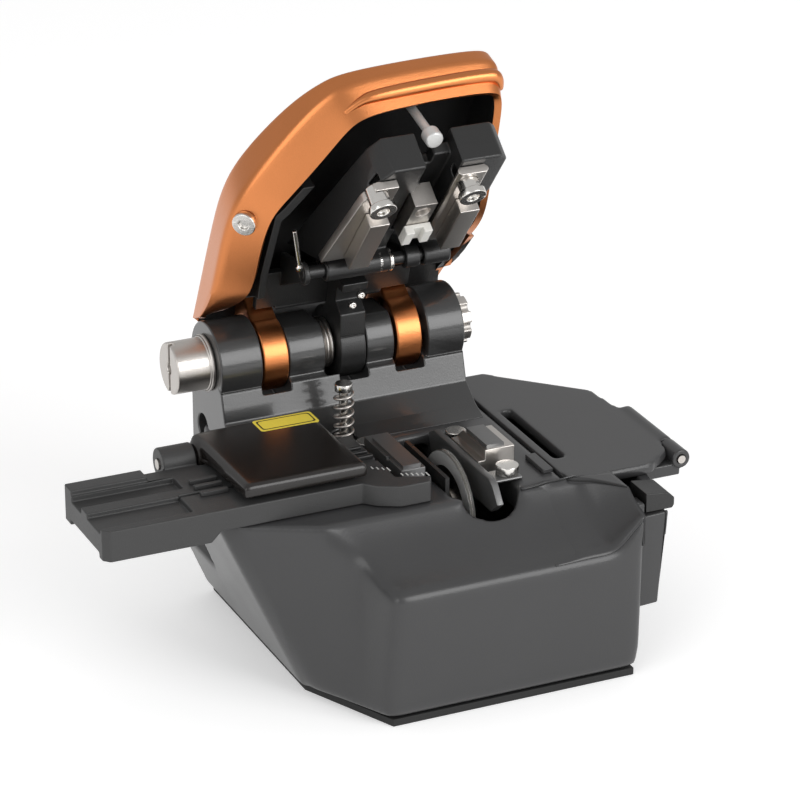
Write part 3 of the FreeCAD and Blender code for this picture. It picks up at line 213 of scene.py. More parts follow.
def finish(name, colour, metallic, rough, scale, depth, uneven, coat=0.0):
    """A painted, plastic or metal finish with the shared grain."""
    material = bpy.data.materials.new(name)
    material.use_nodes = True
    tree = material.node_tree
    shader = tree.nodes["Principled BSDF"]
    grain = tree.nodes.new("ShaderNodeGroup")
    grain.node_tree = grain_group()
    for label, value in (("Scale", scale), ("Depth", depth), ("Rough", rough), ("Uneven", uneven)):
        grain.inputs[label].default_value = value
    tint = tree.nodes.new("ShaderNodeVectorMath")
    tint.operation = "SCALE"
    tint.inputs[0].default_value = colour
    tree.links.new(grain.outputs["Shade"], tint.inputs["Scale"])
    tree.links.new(tint.outputs[0], shader.inputs["Base Color"])
    tree.links.new(grain.outputs["Roughness"], shader.inputs["Roughness"])
    tree.links.new(grain.outputs["Normal"], shader.inputs["Normal"])
    shader.inputs["Metallic"].default_value = metallic
    shader.inputs["Coat Weight"].default_value = coat
    shader.inputs["Coat Roughness"].default_value = 0.12
    return material


MATERIALS = {}


def make_materials(paint):
    """Every finish: colour, metal, roughness, grain scale, grain depth, unevenness and clear coat."""
    MATERIALS.update(
        body=finish("Satin grey paint", paint.body, 0.0, 0.30, 3200, 0.10, 0.08),
        black=finish("Black coating", paint.black, 0.0, 0.34, 3600, 0.22, 0.10),
        orange=finish("Copper coating", paint.orange, 1.0, 0.30, 4200, 0.14, 0.05),
        steel=finish("Ground steel", paint.steel, 1.0, 0.34, 2600, 0.12, 0.15),
        bright=finish("Polished steel", (0.72, 0.70, 0.67), 1.0, 0.2, 1500, 0.05, 0.12),
        pad=finish("Black rubber", (0.012, 0.012, 0.012), 0.0, 0.7, 3000, 0.3, 0.1),
        holder=finish("Matt grey", paint.holder, 0.0, 0.48, 3800, 0.25, 0.10),
        gloss=finish("Smooth black", (0.012, 0.010, 0.009), 0.0, 0.24, 2200, 0.03, 0.06),
        gunmetal=finish("Dark steel", (0.20, 0.20, 0.20), 0.8, 0.38, 2600, 0.12, 0.12),
        blade=finish("Ground blade", (0.62, 0.62, 0.61), 0.55, 0.42, 1800, 0.2, 0.2),
        barrel=finish("Glossy dark casting", (0.026, 0.026, 0.026), 0.0, 0.32, 3000, 0.16, 0.10, 0.6),
        white=finish("Ceramic", (0.75, 0.74, 0.70), 0.0, 0.45, 2600, 0.05, 0.05),
        patch=finish("Yellow patch", paint.patch, 0.0, 0.5, 1800, 0.03, 0.1),
        ink=finish("Pale print", (0.55, 0.55, 0.53), 0.0, 0.55, 1800, 0.03, 0.1),
        ink_dark=finish("Dark print", (0.02, 0.018, 0.012), 0.0, 0.5, 1800, 0.03, 0.1),
    )


# Parts that look different from the rest of their slot.
RECOLOURED = {
    "hinge_bracket": "barrel", "head_pivot_pin": "black", "scrap_bin": "body",
    "left_lower_clamp": "gunmetal", "left_lower_pad": "gunmetal", "right_lower_pad": "gunmetal",
    "guard_plate": "black",
}


def paint_parts():
    """Give every solid part the finish of its slot."""
    for part in frame["record"]["subparts"]:
        obj = frame["nodes"][part["node"]]
        obj.data.materials.clear()
        obj.data.materials.append(MATERIALS[RECOLOURED.get(part["node"], part["material_slot"])])


# ------------------------------------------------------------------ edges

SAME_POINT = 2e-6
FLAT_ENOUGH = math.radians(0.8)
# Faces that turn by more than this, in degrees, meet in an edge to be rounded.
SHARP_CORNER = 34

# Rounding of each part as a share of the setting, and the share of those not listed.
ROUNDING = {
    "hinge_bracket": 1.2, "scrap_bin": 1.3, "fibre_holder": 1.0, "head_frame": 1.6, "blade_wheel": 0.25,
    "lid_lever": 0.9, "left_lower_clamp": 0.5, "hinge_pin": 1.2, "lid_liner": 0.7, "anvil_block": 0.3,
}
PLAIN_SHARE = 0.6
# Springs, thin plates and small turned parts stay crisp.
CRISP = ("plunger_spring", "lid_torsion_spring", "left_lower_pad", "right_lower_pad", "guard_plate",
         "base_plate", "cover_hinge_pin", "bin_hinge_pin", "carriage_rails")


def soften(obj, width):
    """Slightly rounded edges and smooth curved faces on a solid part."""
    data = obj.data
    if "custom_normal" in data.attributes:
        data.attributes.remove(data.attributes["custom_normal"])
    weld = obj.modifiers.new("Weld", "WELD")
    weld.merge_threshold = SAME_POINT
    flat = obj.modifiers.new("Flat", "DECIMATE")
    flat.decimate_type = "DISSOLVE"
    flat.angle_limit = FLAT_ENOUGH
    finish_edges(obj, width)
    edge = obj.modifiers["Edge"]
    edge.miter_outer = "MITER_ARC"
    edge.use_clamp_overlap = False


def finish_edges(obj, width, segments=2, corner=SHARP_CORNER):
    """Rounded edges and even shading on a piece."""
    edge = obj.modifiers.new("Edge", "BEVEL")
    edge.width = width
    edge.segments = segments
    edge.limit_method = "ANGLE"
    edge.angle_limit = math.radians(corner)
    face = obj.modifiers.new("Faces", "WEIGHTED_NORMAL")
    face.weight = 80
    obj.data.shade_smooth()


# ------------------------------------------------------------------ making pieces

TO_METRES = Matrix.Scale(0.001, 4)


def scaled(mesh):
    """Bring a mesh drawn in mm to metres."""
    bmesh.ops.transform(mesh, matrix=TO_METRES, verts=mesh.verts[:])


def new_object(name, mesh, slot, body):
    """An object at the origin from a bmesh, with its finish and the body that it moves with."""
    data = bpy.data.meshes.new(name)
    mesh.to_mesh(data)
    mesh.free()
    obj = bpy.data.objects.new(name, data)
    bpy.context.scene.collection.objects.link(obj)
    data.materials.append(MATERIALS[slot])
    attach(obj, body)
    return obj


def copied(data):
    """A copy of a mesh, ready to be worked on."""
    mesh = bmesh.new()
    mesh.from_mesh(data)
    return mesh


def welded(node):
    """A copy of a solid part's mesh with its loose corners joined."""
    mesh = copied(frame["nodes"][node].data)
    bmesh.ops.remove_doubles(mesh, verts=mesh.verts[:], dist=SAME_POINT)
    return mesh


def put_back(mesh, obj):
    """Give a piece its reworked mesh."""
    mesh.to_mesh(obj.data)
    mesh.free()
    obj.data.shade_smooth()


def faced_up(mesh, faces):
    """Turn all faces one way, with the chosen ones upwards."""
    bmesh.ops.recalc_face_normals(mesh, faces=mesh.faces[:])
    if sum(face.normal.z for face in faces) < 0:
        bmesh.ops.reverse_faces(mesh, faces=mesh.faces[:])


def verts_in(geometry):
    """The corners among the results of an extrusion."""
    return [item for item in geometry if isinstance(item, bmesh.types.BMVert)]


def turned(name, profile, spot, aim, slot, body):
    """A turned piece: a profile of radii and heights in mm, spun round a way from a seat."""
    mesh = bmesh.new()
    verts = [mesh.verts.new((radius, 0, height)) for radius, height in profile]
    edges = [mesh.edges.new(pair) for pair in zip(verts, verts[1:])]
    bmesh.ops.spin(mesh, geom=verts + edges, cent=(0, 0, 0), axis=(0, 0, 1), angle=math.tau,
                   steps=40, use_merge=True)
    bmesh.ops.remove_doubles(mesh, verts=mesh.verts[:], dist=0.0005)
    bmesh.ops.recalc_face_normals(mesh, faces=mesh.faces[:])
    turn = Vector(aim).to_track_quat("Z", "Y").to_matrix().to_4x4()
    place = TO_METRES @ Matrix.Translation(spot) @ turn
    bmesh.ops.transform(mesh, matrix=place, verts=mesh.verts[:])
    obj = new_object(name, mesh, slot, body)
    finish_edges(obj, 0.0001, 2, 30)
    return obj


def tube_mesh(line, radius, swell=()):
    """A closed round bar along a smooth line, in mm, with its share of the radius at each point."""
    curve = bpy.data.curves.new("line", "CURVE")
    curve.dimensions = "3D"
    curve.bevel_depth = radius
    curve.bevel_resolution = 6
    curve.resolution_u = 10
    curve.use_fill_caps = True
    spline = curve.splines.new("NURBS")
    spline.points.add(len(line) - 1)
    for point, spot in zip(spline.points, line):
        point.co = (*spot, 1.0)
    for point, share in zip(spline.points, swell):
        point.radius = share
    spline.use_endpoint_u = True
    spline.order_u = 3
    holder = bpy.data.objects.new("line", curve)
    data = bpy.data.meshes.new_from_object(holder)
    bpy.data.objects.remove(holder)
    mesh = copied(data)
    bmesh.ops.remove_doubles(mesh, verts=mesh.verts[:], dist=0.0001)
    bmesh.ops.recalc_face_normals(mesh, faces=mesh.faces[:])
    return mesh


# ------------------------------------------------------------------ castings

# The front's scoop is an arc about a line ahead of the front face, in mm.
SCOOP_RADIUS = 20.0
SCOOP_AXIS = 47.0
SCOOP_AHEAD = 1.0
FRONT = -36.0
DECK = 36.0
COVER_FRONT = -20.55
# Towards the right corner the arc's radius shrinks, eased in over a width.
RUNOUT_START = 22.3
RUNOUT_EASE = 4.0

# The apron lies on the scoop, with a tail flat on the deck that is a share of its length.
APRON_LEFT = 12.0
APRON_WIDE = 18.4
APRON_START = 0.6
APRON_BACK = -20.5
APRON_TAIL = 0.25
APRON_FOOT = 27.0
APRON_WALL = 0.0005
# It is sunk at its left and front edges and rises out of the casting over these stretches.
APRON_SINK = 0.4
APRON_RISE = 0.6
RISE_START, RISE_WIDE = 13.0, 6.0
RISE_LEAD, RISE_LONG = 0.02, 0.12
# Left of the bin the tail sinks under the deck.
TAIL_FADE = 1.1
TAIL_LEFT = 21.0
TAIL_SINK = 0.3

# The scooped front block and, inside it, the bin's bay, in metres.
BLOCK_BACK, BLOCK_TOP = -0.017, 0.0352
BAY_LEFT, BAY_FRONT, BAY_FLOOR = 0.019, -0.0335, 0.012

BORE_RADIUS = 0.00115
BORE_TOP = 0.0345
PLUNGER_TRAVEL = 0.002
# Radius and path, in mm, of the black tube that paints the shade in the seam round the bin.
SEAM_RADIUS = 0.17
SEAM_LINE = ((21.3, -18.4), (21.35, -20.4), (22.2, -21.6), (24.6, -22.7), (27.0, -24.5), (30.2, -28.2))


def smoothed(mesh, verts, rounds):
    """Even out some corners of a skin."""
    for _ in range(rounds):
        bmesh.ops.smooth_vert(mesh, verts=verts, factor=0.5, use_axis_x=True, use_axis_y=True,
                              use_axis_z=True)


def cast_copy(node, name, cell, rounds, slot, body):
    """A closed skin of small cells in the place of a solid part, evenly worn at its edges."""
    mesh = welded(node)
    rough = bpy.data.meshes.new(name)
    mesh.to_mesh(rough)
    mesh.free()
    shape = bpy.data.objects.new(name + "_rough", rough)
    bpy.context.scene.collection.objects.link(shape)
    cells = shape.modifiers.new("Cells", "REMESH")
    cells.mode = "VOXEL"
    cells.voxel_size = cell
    graph = bpy.context.evaluated_depsgraph_get()
    skin = bpy.data.meshes.new_from_object(shape.evaluated_get(graph))
    bpy.data.objects.remove(shape)
    mesh = copied(skin)
    smoothed(mesh, mesh.verts[:], rounds)
    obj = new_object(name, mesh, slot, body)
    obj.data.shade_smooth()
    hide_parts(node)
    return obj


def in_front_block(spot):
    """Whether a point is on the scooped front block, clear of the bin's bay."""
    in_bay = spot.x > BAY_LEFT and spot.y > BAY_FRONT and spot.z > BAY_FLOOR
    return spot.y < BLOCK_BACK and spot.z < BLOCK_TOP and not in_bay


def wear_front(obj, rounds):
    """Round the front block further."""
    mesh = copied(obj.data)
    smoothed(mesh, [vert for vert in mesh.verts if in_front_block(vert.co)], rounds)
    put_back(mesh, obj)


def open_bore(obj, node):
    """A round bore through a skin, below the counterbore, for an upright pin."""
    low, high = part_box(node)
    middle = (low + high) / 2
    mesh = copied(obj.data)
    inside = [vert for vert in mesh.verts if low.z - PLUNGER_TRAVEL < vert.co.z < BORE_TOP
              and (vert.co - middle).xy.length < BORE_RADIUS]
    bmesh.ops.delete(mesh, geom=inside, context="VERTS")
    rims = [edge for edge in mesh.edges if edge.is_boundary]
    for vert in {vert for edge in rims for vert in edge.verts}:
        vert.co.xy = middle.xy + (vert.co - middle).xy.normalized() * BORE_RADIUS
    bmesh.ops.bridge_loops(mesh, edges=rims)
    bmesh.ops.recalc_face_normals(mesh, faces=mesh.faces[:])
    put_back(mesh, obj)


def trim_front(obj, depth):
    """Cut a piece off square in front of a depth."""
    mesh = copied(obj.data)
    everything = mesh.verts[:] + mesh.edges[:] + mesh.faces[:]
    cut = bmesh.ops.bisect_plane(mesh, geom=everything, plane_co=(0, depth, 0), plane_no=(0, -1, 0),
                                 clear_outer=True)["geom_cut"]
    bmesh.ops.holes_fill(mesh, edges=[item for item in cut if isinstance(item, bmesh.types.BMEdge)])
    put_back(mesh, obj)


def smooth_step(value):
    """Ease from 0 to 1."""
    value = min(max(value, 0.0), 1.0)
    return value * value * (3 - 2 * value)


def scoop_radius(x):
    """Radius of the scoop's arc at a width: whole on the left, running out at the right corner."""
    past = max(x - RUNOUT_START, 0.0)
    if past < RUNOUT_EASE:
        return SCOOP_RADIUS - past ** 2 / (2 * RUNOUT_EASE)
    return SCOOP_RADIUS - (past - RUNOUT_EASE / 2)


def apron_point(x, along):
    """A point of the apron at a width and a share of its length; a share over 1 is on the deck."""
    radius = scoop_radius(x)
    reach = math.sqrt(radius ** 2 - (SCOOP_AXIS - DECK) ** 2) - SCOOP_AHEAD - APRON_START
    depth = APRON_START + reach * min(along, 1.0)
    height = SCOOP_AXIS - math.sqrt(radius ** 2 - (depth + SCOOP_AHEAD) ** 2)
    y = FRONT + depth
    if along > 1.0:
        y += (APRON_BACK - y) * (along - 1.0) / APRON_TAIL
    across = smooth_step((x - RISE_START) / RISE_WIDE)
    rise = APRON_RISE * across * smooth_step((along + RISE_LEAD) / RISE_LONG) - APRON_SINK
    if along > TAIL_FADE and x < TAIL_LEFT:
        rise -= TAIL_SINK
    return Vector((x, y, min(height + rise, DECK + 0.02)))


def scoop_apron():
    """Smooth end of the scoop in front of the bin: a sheet on the scoop, rising at the corner."""
    mesh = bmesh.new()
    bmesh.ops.create_grid(mesh, x_segments=30, y_segments=24, size=0.5)
    for vert in mesh.verts:
        across, along = vert.co.x + 0.5, vert.co.y + 0.5
        vert.co = apron_point(APRON_LEFT + APRON_WIDE * across, along * (1 + APRON_TAIL))
    right = APRON_LEFT + APRON_WIDE - 0.01
    side = [edge for edge in mesh.edges if all(vert.co.x > right for vert in edge.verts)]
    for vert in verts_in(bmesh.ops.extrude_edge_only(mesh, edges=side)["geom"]):
        vert.co.z = min(vert.co.z - 0.5, APRON_FOOT)
    faced_up(mesh, mesh.faces)
    scaled(mesh)
    obj = new_object("scoop_apron", mesh, "body", "base")
    obj.data.shade_smooth()
    wall = obj.modifiers.new("Wall", "SOLIDIFY")
    wall.thickness = APRON_WALL
    wall.offset = -1.0


def bin_seam_shade():
    """Painted shade in the seam between the apron and the bin's cover: a thin black tube on the surface in place
    of the shaded groove.
    """
    mesh = tube_mesh([(x, y, DECK) for x, y in SEAM_LINE], SEAM_RADIUS)
    scaled(mesh)
    # The black rubber finish on this tube is painted shade where the seam's groove would be.
    new_object("bin_seam_shade", mesh, "pad", "base").data.shade_smooth()


FLAP_SHOULDER = ((-42.0, 5.6, 41.2), (-37.2, -9.0, 43.6), (-36.4, -9.0, 43.9), (-36.4, 11.4, 43.9),
                 (-37.2, 11.4, 43.6), (-42.0, 11.2, 41.2))
SHOULDER_FOOT = 40.7


def flap_shoulder():
    """Sloping shoulder that runs the flap into its hinge barrel."""
    mesh = bmesh.new()
    top = mesh.faces.new([mesh.verts.new(spot) for spot in FLAP_SHOULDER])
    for vert in verts_in(bmesh.ops.extrude_face_region(mesh, geom=[top])["geom"]):
        vert.co.z = SHOULDER_FOOT
    bmesh.ops.recalc_face_normals(mesh, faces=mesh.faces[:])
    scaled(mesh)
    obj = new_object("flap_shoulder", mesh, "gloss", "fibre_flap")
    finish_edges(obj, 0.0006, 3, 15)


# ------------------------------------------------------------------ the lid, drawn shut, in mm

LID_JOINT = next(joint for joint in frame["joints"] if joint["name"] == "lid_hinge")
HINGE = Vector(LID_JOINT["pos_m"]) * 1000
LID_OPEN = math.radians(LID_JOINT["range_deg"][1])
# Turn about the hinge that brings the shut lid to where it stands open.
SWING = Matrix.Translation(HINGE) @ Matrix.Rotation(-LID_OPEN, 4, "X") @ Matrix.Translation(-HINGE)

# Columns round the lid from a back corner to the nose: the rim, the wide ledge and the roof's plan.
LID_LEFT = (
    ((-27.6, 19.0), (-31.6, 21.0), (-30.4, 26.5)),
    ((-25.5, 11.2), (-31.6, 14.0), (-29.4, 16.0)),
    ((-25.2, 2.4), (-31.0, 2.4), (-28.2, 1.0)),
    ((-23.8, -7.0), (-29.5, -7.0), (-27.4, -6.0)),
    ((-20.9, -10.4), (-26.4, -13.0), (-25.0, -14.0)),
    ((-13.2, -20.0), (-17.8, -24.7), (-17.5, -25.5)),
    ((-9.5, -25.6), (-12.5, -29.8), (-12.0, -31.8)),
    ((-5.0, -28.2), (-8.0, -32.4), (-8.0, -34.1)),
)
LID_RIGHT = (
    ((21.8, 17.8), (21.8, 22.0), (21.8, 26.5)),
    ((21.8, 8.0), (21.8, 12.0), (21.8, 16.0)),
    ((21.8, 0.6), (22.0, 2.0), (21.8, 3.0)),
    ((21.8, -7.0), (22.2, -7.0), (21.9, -7.0)),
    ((21.8, -14.0), (22.4, -14.0), (22.0, -14.0)),
    ((21.8, -22.0), (22.8, -23.0), (22.1, -24.0)),
    ((21.6, -27.4), (22.8, -31.2), (22.1, -32.2)),
    ((19.2, -29.2), (19.6, -33.4), (18.8, -34.4)),
)
# Depth and height along the roof's slope, from the nose to the back.
ROOF_LINE = ((-34.5, 52.9), (-26.0, 55.8), (-15.0, 57.8), (1.0, 59.5), (20.5, 60.5), (26.5, 60.2))
RIM = 45.2
LEDGE = 50.0
# Rise above the ledge over which the wall leans in to the roof's plan.
LEAN = 11.5
# Least heights of the wall below and above the ledge.
WALL_BELOW, WALL_OVER = 1.6, 0.8
# Width that parts the left rim from the right one.
RIM_PARTING = 11.0
# Depth where the rim starts to rise over the hinge, and its slope.
RISE_LEFT = (11.2, 0.967)
RISE_RIGHT = (2.4, 0.74)
LEDGE_CREASE = 0.75
ROOF_CREASE = 0.45
ROOF_INSET = 2.6

LIP_LINE = ((-9.8, -27.0, 47.6), (-7.4, -29.0, 47.6), (-4.0, -30.15, 47.6), (19.0, -31.1, 47.6),
            (21.3, -29.9, 47.6), (21.8, -27.4, 47.6))
LIP_SWELL = (0.55, 0.55, 1, 1, 1, 0.6)

ARM_STARTS = (-22.25, 5.75)
EYE_RADIUS = 7.3
EYE_BORE = 2.56
ARM_WEB = ((18.6, 59.2), (21.7, 50.6), (24.0, 51.0), (26.6, 56.4), (30.4, 57.0), (27.2, 59.2))

SHIELD_LEFT, SHIELD_RIGHT = -16.8, 5.6
SHIELD_START = Vector((0.0, -8.1, 2.5))
SHIELD_SWEEP = -84.0
SHIELD_WALL = 0.7


def opened(mesh):
    """Swing a mesh that is drawn shut, in mm, to the open lid, in metres."""
    bmesh.ops.transform(mesh, matrix=TO_METRES @ SWING, verts=mesh.verts[:])


def roof_height(y):
    """Height of the lid's sloping roof at a depth."""
    for (near, low), (far, high) in zip(ROOF_LINE, ROOF_LINE[1:]):
        if y <= far:
            return low + (high - low) * max(y - near, 0.0) / (far - near)
    return ROOF_LINE[-1][1]


def rim_height(x, y):
    """Height of the lid's lower edge: level, then rising over the hinge, earlier on the right."""
    start, slope = RISE_RIGHT if x > RIM_PARTING else RISE_LEFT
    return RIM + max(y - start, 0.0) * slope


def lid_column(mesh, rim, ledge, roof):
    """Three points up the lid's wall: rim, ledge and roof edge."""
    low = rim_height(*rim)
    bend = max(LEDGE, low + WALL_BELOW)
    top = roof_height(roof[1])
    share = min(max((top - LEDGE) / LEAN, 0.0), 1.0)
    edge = [near + (far - near) * share for near, far in zip(ledge, roof)]
    top = max(top, bend + WALL_OVER)
    return [mesh.verts.new((*rim, low)), mesh.verts.new((*ledge, bend)), mesh.verts.new((*edge, top))]


def lid_shell(wall_thickness):
    """The arched shell: a cage of walls and roof, rounded, then given its wall, black inside."""
    mesh = bmesh.new()
    left = [lid_column(mesh, *column) for column in LID_LEFT]
    right = [lid_column(mesh, *column) for column in LID_RIGHT]
    ring = left + right[::-1]
    for one, two in zip(ring, ring[1:]):
        for level in (0, 1):
            mesh.faces.new((one[level], one[level + 1], two[level + 1], two[level]))
    rows = list(zip(left, right))
    roof = [mesh.faces.new((one[2], other[2], next_other[2], next_one[2]))
            for (one, other), (next_one, next_other) in zip(rows, rows[1:])]
    faced_up(mesh, roof)
    crease = mesh.edges.layers.float.new("crease_edge")
    for one, two in zip(ring, ring[1:]):
        mesh.edges.get((one[1], two[1]))[crease] = LEDGE_CREASE
        mesh.edges.get((one[2], two[2]))[crease] = ROOF_CREASE
    bmesh.ops.inset_region(mesh, faces=roof, thickness=ROOF_INSET, use_even_offset=True)
    opened(mesh)
    obj = new_object("lid_shell", mesh, "orange", "lid_arm")
    obj.data.materials.append(MATERIALS["black"])
    smooth = obj.modifiers.new("Round", "SUBSURF")
    smooth.levels = smooth.render_levels = 3
    smooth.boundary_smooth = "PRESERVE_CORNERS"
    wall = obj.modifiers.new("Wall", "SOLIDIFY")
    wall.thickness = wall_thickness
    wall.offset = -1.0
    wall.material_offset = 1
    wall.material_offset_rim = 0
    finish_edges(obj, 0.0003, 2, 50)
    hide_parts("lid")


def lid_roll(radius):
    """Rolled bead along the front lip, dying out round its corners."""
    mesh = tube_mesh(LIP_LINE, radius * 1000, LIP_SWELL)
    opened(mesh)
    new_object("lid_roll", mesh, "orange", "lid_arm").data.shade_smooth()


def lid_arm(name, start, width):
    """One arm: an eye round the shaft and a web up to the roof."""
    mesh = bmesh.new()
    turn = Matrix.Translation((start, HINGE.y, HINGE.z)) @ Matrix.Rotation(math.radians(90), 4, "Y")
    for radius in (EYE_RADIUS, EYE_BORE):
        bmesh.ops.create_circle(mesh, radius=radius, segments=72, matrix=turn)
    eye = bmesh.ops.bridge_loops(mesh, edges=mesh.edges[:])["faces"]
    web = mesh.faces.new([mesh.verts.new((start, y, z)) for y, z in ARM_WEB])
    pulled = verts_in(bmesh.ops.extrude_face_region(mesh, geom=eye + [web])["geom"])
    bmesh.ops.translate(mesh, verts=pulled, vec=(width * 1000, 0, 0))
    bmesh.ops.recalc_face_normals(mesh, faces=mesh.faces[:])
    opened(mesh)
    obj = new_object(name, mesh, "orange", "lid_arm")
    finish_edges(obj, 0.0004, 3, 40)


def hinge_shield():
    """Curved black shield that closes the gap between the lid and the barrels."""
    mesh = bmesh.new()
    ends = [mesh.verts.new(HINGE + SHIELD_START + Vector((x, 0, 0))) for x in (SHIELD_LEFT, SHIELD_RIGHT)]
    edge = mesh.edges.new(ends)
    bmesh.ops.spin(mesh, geom=[edge, *ends], cent=HINGE, axis=(1, 0, 0), angle=math.radians(SHIELD_SWEEP),
                   steps=18)
    bmesh.ops.recalc_face_normals(mesh, faces=mesh.faces[:])
    bmesh.ops.solidify(mesh, geom=mesh.faces[:], thickness=-SHIELD_WALL)
    bmesh.ops.recalc_face_normals(mesh, faces=mesh.faces[:])
    opened(mesh)
    obj = new_object("hinge_shield", mesh, "black", "lid_arm")
    finish_edges(obj, 0.0002, 2, 50)


# ------------------------------------------------------------------ rods, screws and plates, in mm

GUIDE_TOP = Vector((4.3, -25.4, 55.0))
GUIDE_PROFILE = ((0, 0), (0.85, 0), (0.85, 14.6), (1.55, 14.9), (1.75, 15.2), (1.75, 17.4), (1.5, 17.7),
                 (0, 17.7))
MAGNET_SEAT = Vector((17.4, -27.4, 51.3))
MAGNET_PROFILE = ((0, 0), (1.4, 0), (1.4, 2.0), (0, 2.0))
STAY_START = Vector((-18.4, 15.1, 79.8))
STAY_END = Vector((-16.0, 18.2, 70.6))
SCREW_PROFILE = ((0, -0.6), (0.75, -0.6), (0.75, 0.35), (0.6, 0.6), (0.3375, 0.7), (0.315, 0.25), (0, 0.2))
LEVER_SCREWS = ((-2.6, 20.3, 62.2), (-4.4, 20.3, 60.4))
LEVER_FACE = (0, -1, 0.2)
WASHER_PROFILE = ((1.2, 0), (2.2, 0), (2.2, 0.7), (1.2, 0.7), (1.2, 0))
WASHER_SPOTS = (-0.9, 1.3)
RIM_INNER, RIM_OUTER = 8.0, 10.9
# The low side wall of the right clamp's carrier, in metres: its reach, its height and its drop.
WALL_RIGHT, WALL_ABOVE, WALL_DROP = 0.0082, 0.0385, 0.0022


def middle_of(node):
    """Middle of a solid part, in mm."""
    low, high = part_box(node)
    return (low + high) * 500


def blade_rim():
    """Ground bright band near the edge of the blade's two faces."""
    middle = middle_of("blade_wheel")
    for name, side in (("blade_rim_1", -1), ("blade_rim_2", 1)):
        under, over = 0.47 * side, 0.55 * side
        profile = ((RIM_INNER, under), (RIM_INNER + 0.05, over), (RIM_OUTER - 0.3, over), (RIM_OUTER, under),
                   (RIM_INNER, under))
        band = turned(name, profile, middle, (1, 0, 0), "blade", "blade")
        band.modifiers.remove(band.modifiers["Edge"])


def guide_rod():
    """Slim rod from the lid's roof with a round foot above the head."""
    way = SWING.to_3x3() @ Vector((0, 0, -1))
    rod = turned("guide_rod", GUIDE_PROFILE, SWING @ GUIDE_TOP, way, "blade", "lid_arm")
    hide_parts("head_guide_rod")


def lid_magnet():
    """Short bright magnet in the nose of the lid."""
    way = SWING.to_3x3() @ Vector((0, 0, 1))
    magnet = turned("magnet", MAGNET_PROFILE, SWING @ MAGNET_SEAT, way, "bright", "lid_arm")
    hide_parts("lid_magnet")


def stay_rod():
    """Thin bright stay beside the head inside the lid."""
    way = STAY_END - STAY_START
    long = way.length
    profile = ((0, 0), (0.5, 0), (0.5, long - 1.2), (0.9, long - 1.0), (0.9, long), (0, long))
    turned("stay_rod", profile, STAY_START, way, "bright", "lid_arm")


def clamp_plate():
    """The right clamp's carrier with its side wall standing lower than the block."""
    mesh = welded("right_clamp_plate")
    bmesh.ops.dissolve_limit(mesh, angle_limit=FLAT_ENOUGH, verts=mesh.verts[:], edges=mesh.edges[:])
    tall = [vert for vert in mesh.verts if vert.co.z > WALL_ABOVE and vert.co.x < WALL_RIGHT]
    bmesh.ops.translate(mesh, verts=tall, vec=(0, 0, -WALL_DROP))
    obj = new_object("clamp_plate", mesh, "gunmetal", "base")
    finish_edges(obj, 0.00025)
    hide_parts("right_clamp_plate")


def pivot_washers():
    """Two bright washers on the head's pivot pin."""
    middle = middle_of("head_pivot_pin")
    for number, x in enumerate(WASHER_SPOTS, start=1):
        spot = Vector((x, middle.y, middle.z))
        turned("pivot_washer_%d" % number, WASHER_PROFILE, spot, (1, 0, 0), "bright", "lid_arm")


# ------------------------------------------------------------------ marks on the holder

FIN_COUNT = 3
FIN_SIZE = (0.0036, 0.0010, 0.0010)
FIN_START = Vector((-0.0141, -0.0012, 0.0408))
FIN_STEP = Vector((0.0003, -0.0021, 0.0))
TICK_WIDE = 0.00026
TICK_LONG, TICK_SHORT = 0.0016, 0.0010
TONGUE_TOP = 0.0404
BACK_ROW = (Vector((-0.0136, -0.0094, TONGUE_TOP)), Vector((0.00085, -0.0006, 0.0)))
FRONT_ROW = (Vector((-0.0097, -0.0143, TONGUE_TOP)), Vector((0.00088, -0.00036, 0.0)))
BACK_TICKS = 4
# Name, finish, left, right, front and back in mm, and the share of the print's thickness.
PATCH_LAYERS = (
    ("flap_patch", "patch", -29.2, -17.3, 6.3, 11.4, 1.0),
    ("flap_patch_border", "ink_dark", -28.7, -17.8, 6.8, 10.9, 1.3),
    ("flap_patch_field", "patch", -28.4, -18.1, 7.1, 10.6, 1.6),
)
PATCH_CORNER = 0.0006


def add_block(mesh, middle, size):
    """Add a block to a bmesh, in metres."""
    place = Matrix.Translation(middle) @ Matrix.Diagonal((*size, 1.0))
    bmesh.ops.create_cube(mesh, size=1.0, matrix=place)


def tongue_fins():
    """Small fins on the tongue between the flap and the scale."""
    mesh = bmesh.new()
    for index in range(FIN_COUNT):
        add_block(mesh, FIN_START + FIN_STEP * index, FIN_SIZE)
    obj = new_object("tongue_fins", mesh, "black", "holder")
    finish_edges(obj, 0.0002, 2, 30)


def scale_ticks(marks):
    """Two rows of pale ticks, with the last of each row longer."""
    mesh = bmesh.new()
    for (start, step), count in ((BACK_ROW, BACK_TICKS), (FRONT_ROW, marks.ticks)):
        for index in range(count):
            long = TICK_LONG if index == count - 1 else TICK_SHORT
            add_block(mesh, start + step * index, (TICK_WIDE, long, 2 * marks.thick))
    new_object("scale_ticks", mesh, "ink", "holder")


def flap_patch(thick):
    """Plain patch with round corners: a ground, a dark border and a field."""
    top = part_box("holder_cover")[1].z
    for name, slot, left, right, front, back, share in PATCH_LAYERS:
        low = Vector((left / 1000, front / 1000, top - 0.0001))
        high = Vector((right / 1000, back / 1000, top + share * thick))
        mesh = bmesh.new()
        add_block(mesh, (low + high) / 2, high - low)
        upright = [edge for edge in mesh.edges if abs(edge.verts[0].co.z - edge.verts[1].co.z) > 1e-5]
        bmesh.ops.bevel(mesh, geom=upright, offset=PATCH_CORNER, segments=4, profile=0.5, affect="EDGES",
                        material=-1)
        new_object(name, mesh, slot, "fibre_flap")


# ------------------------------------------------------------------ stage

FLOOR_GLOW = 0.32
AIM = Vector((0, 0, 0.045))
KEY_SPOT = (0.36, -0.66, 0.36)
FILL_SPOT = (-0.6, -0.35, 0.35)
CAMERA_SPOT = (-0.2774, -0.6018, 0.3410)
CAMERA_TURN = (66.142, 0.0, -24.465)
CAMERA_LENS = 172.84


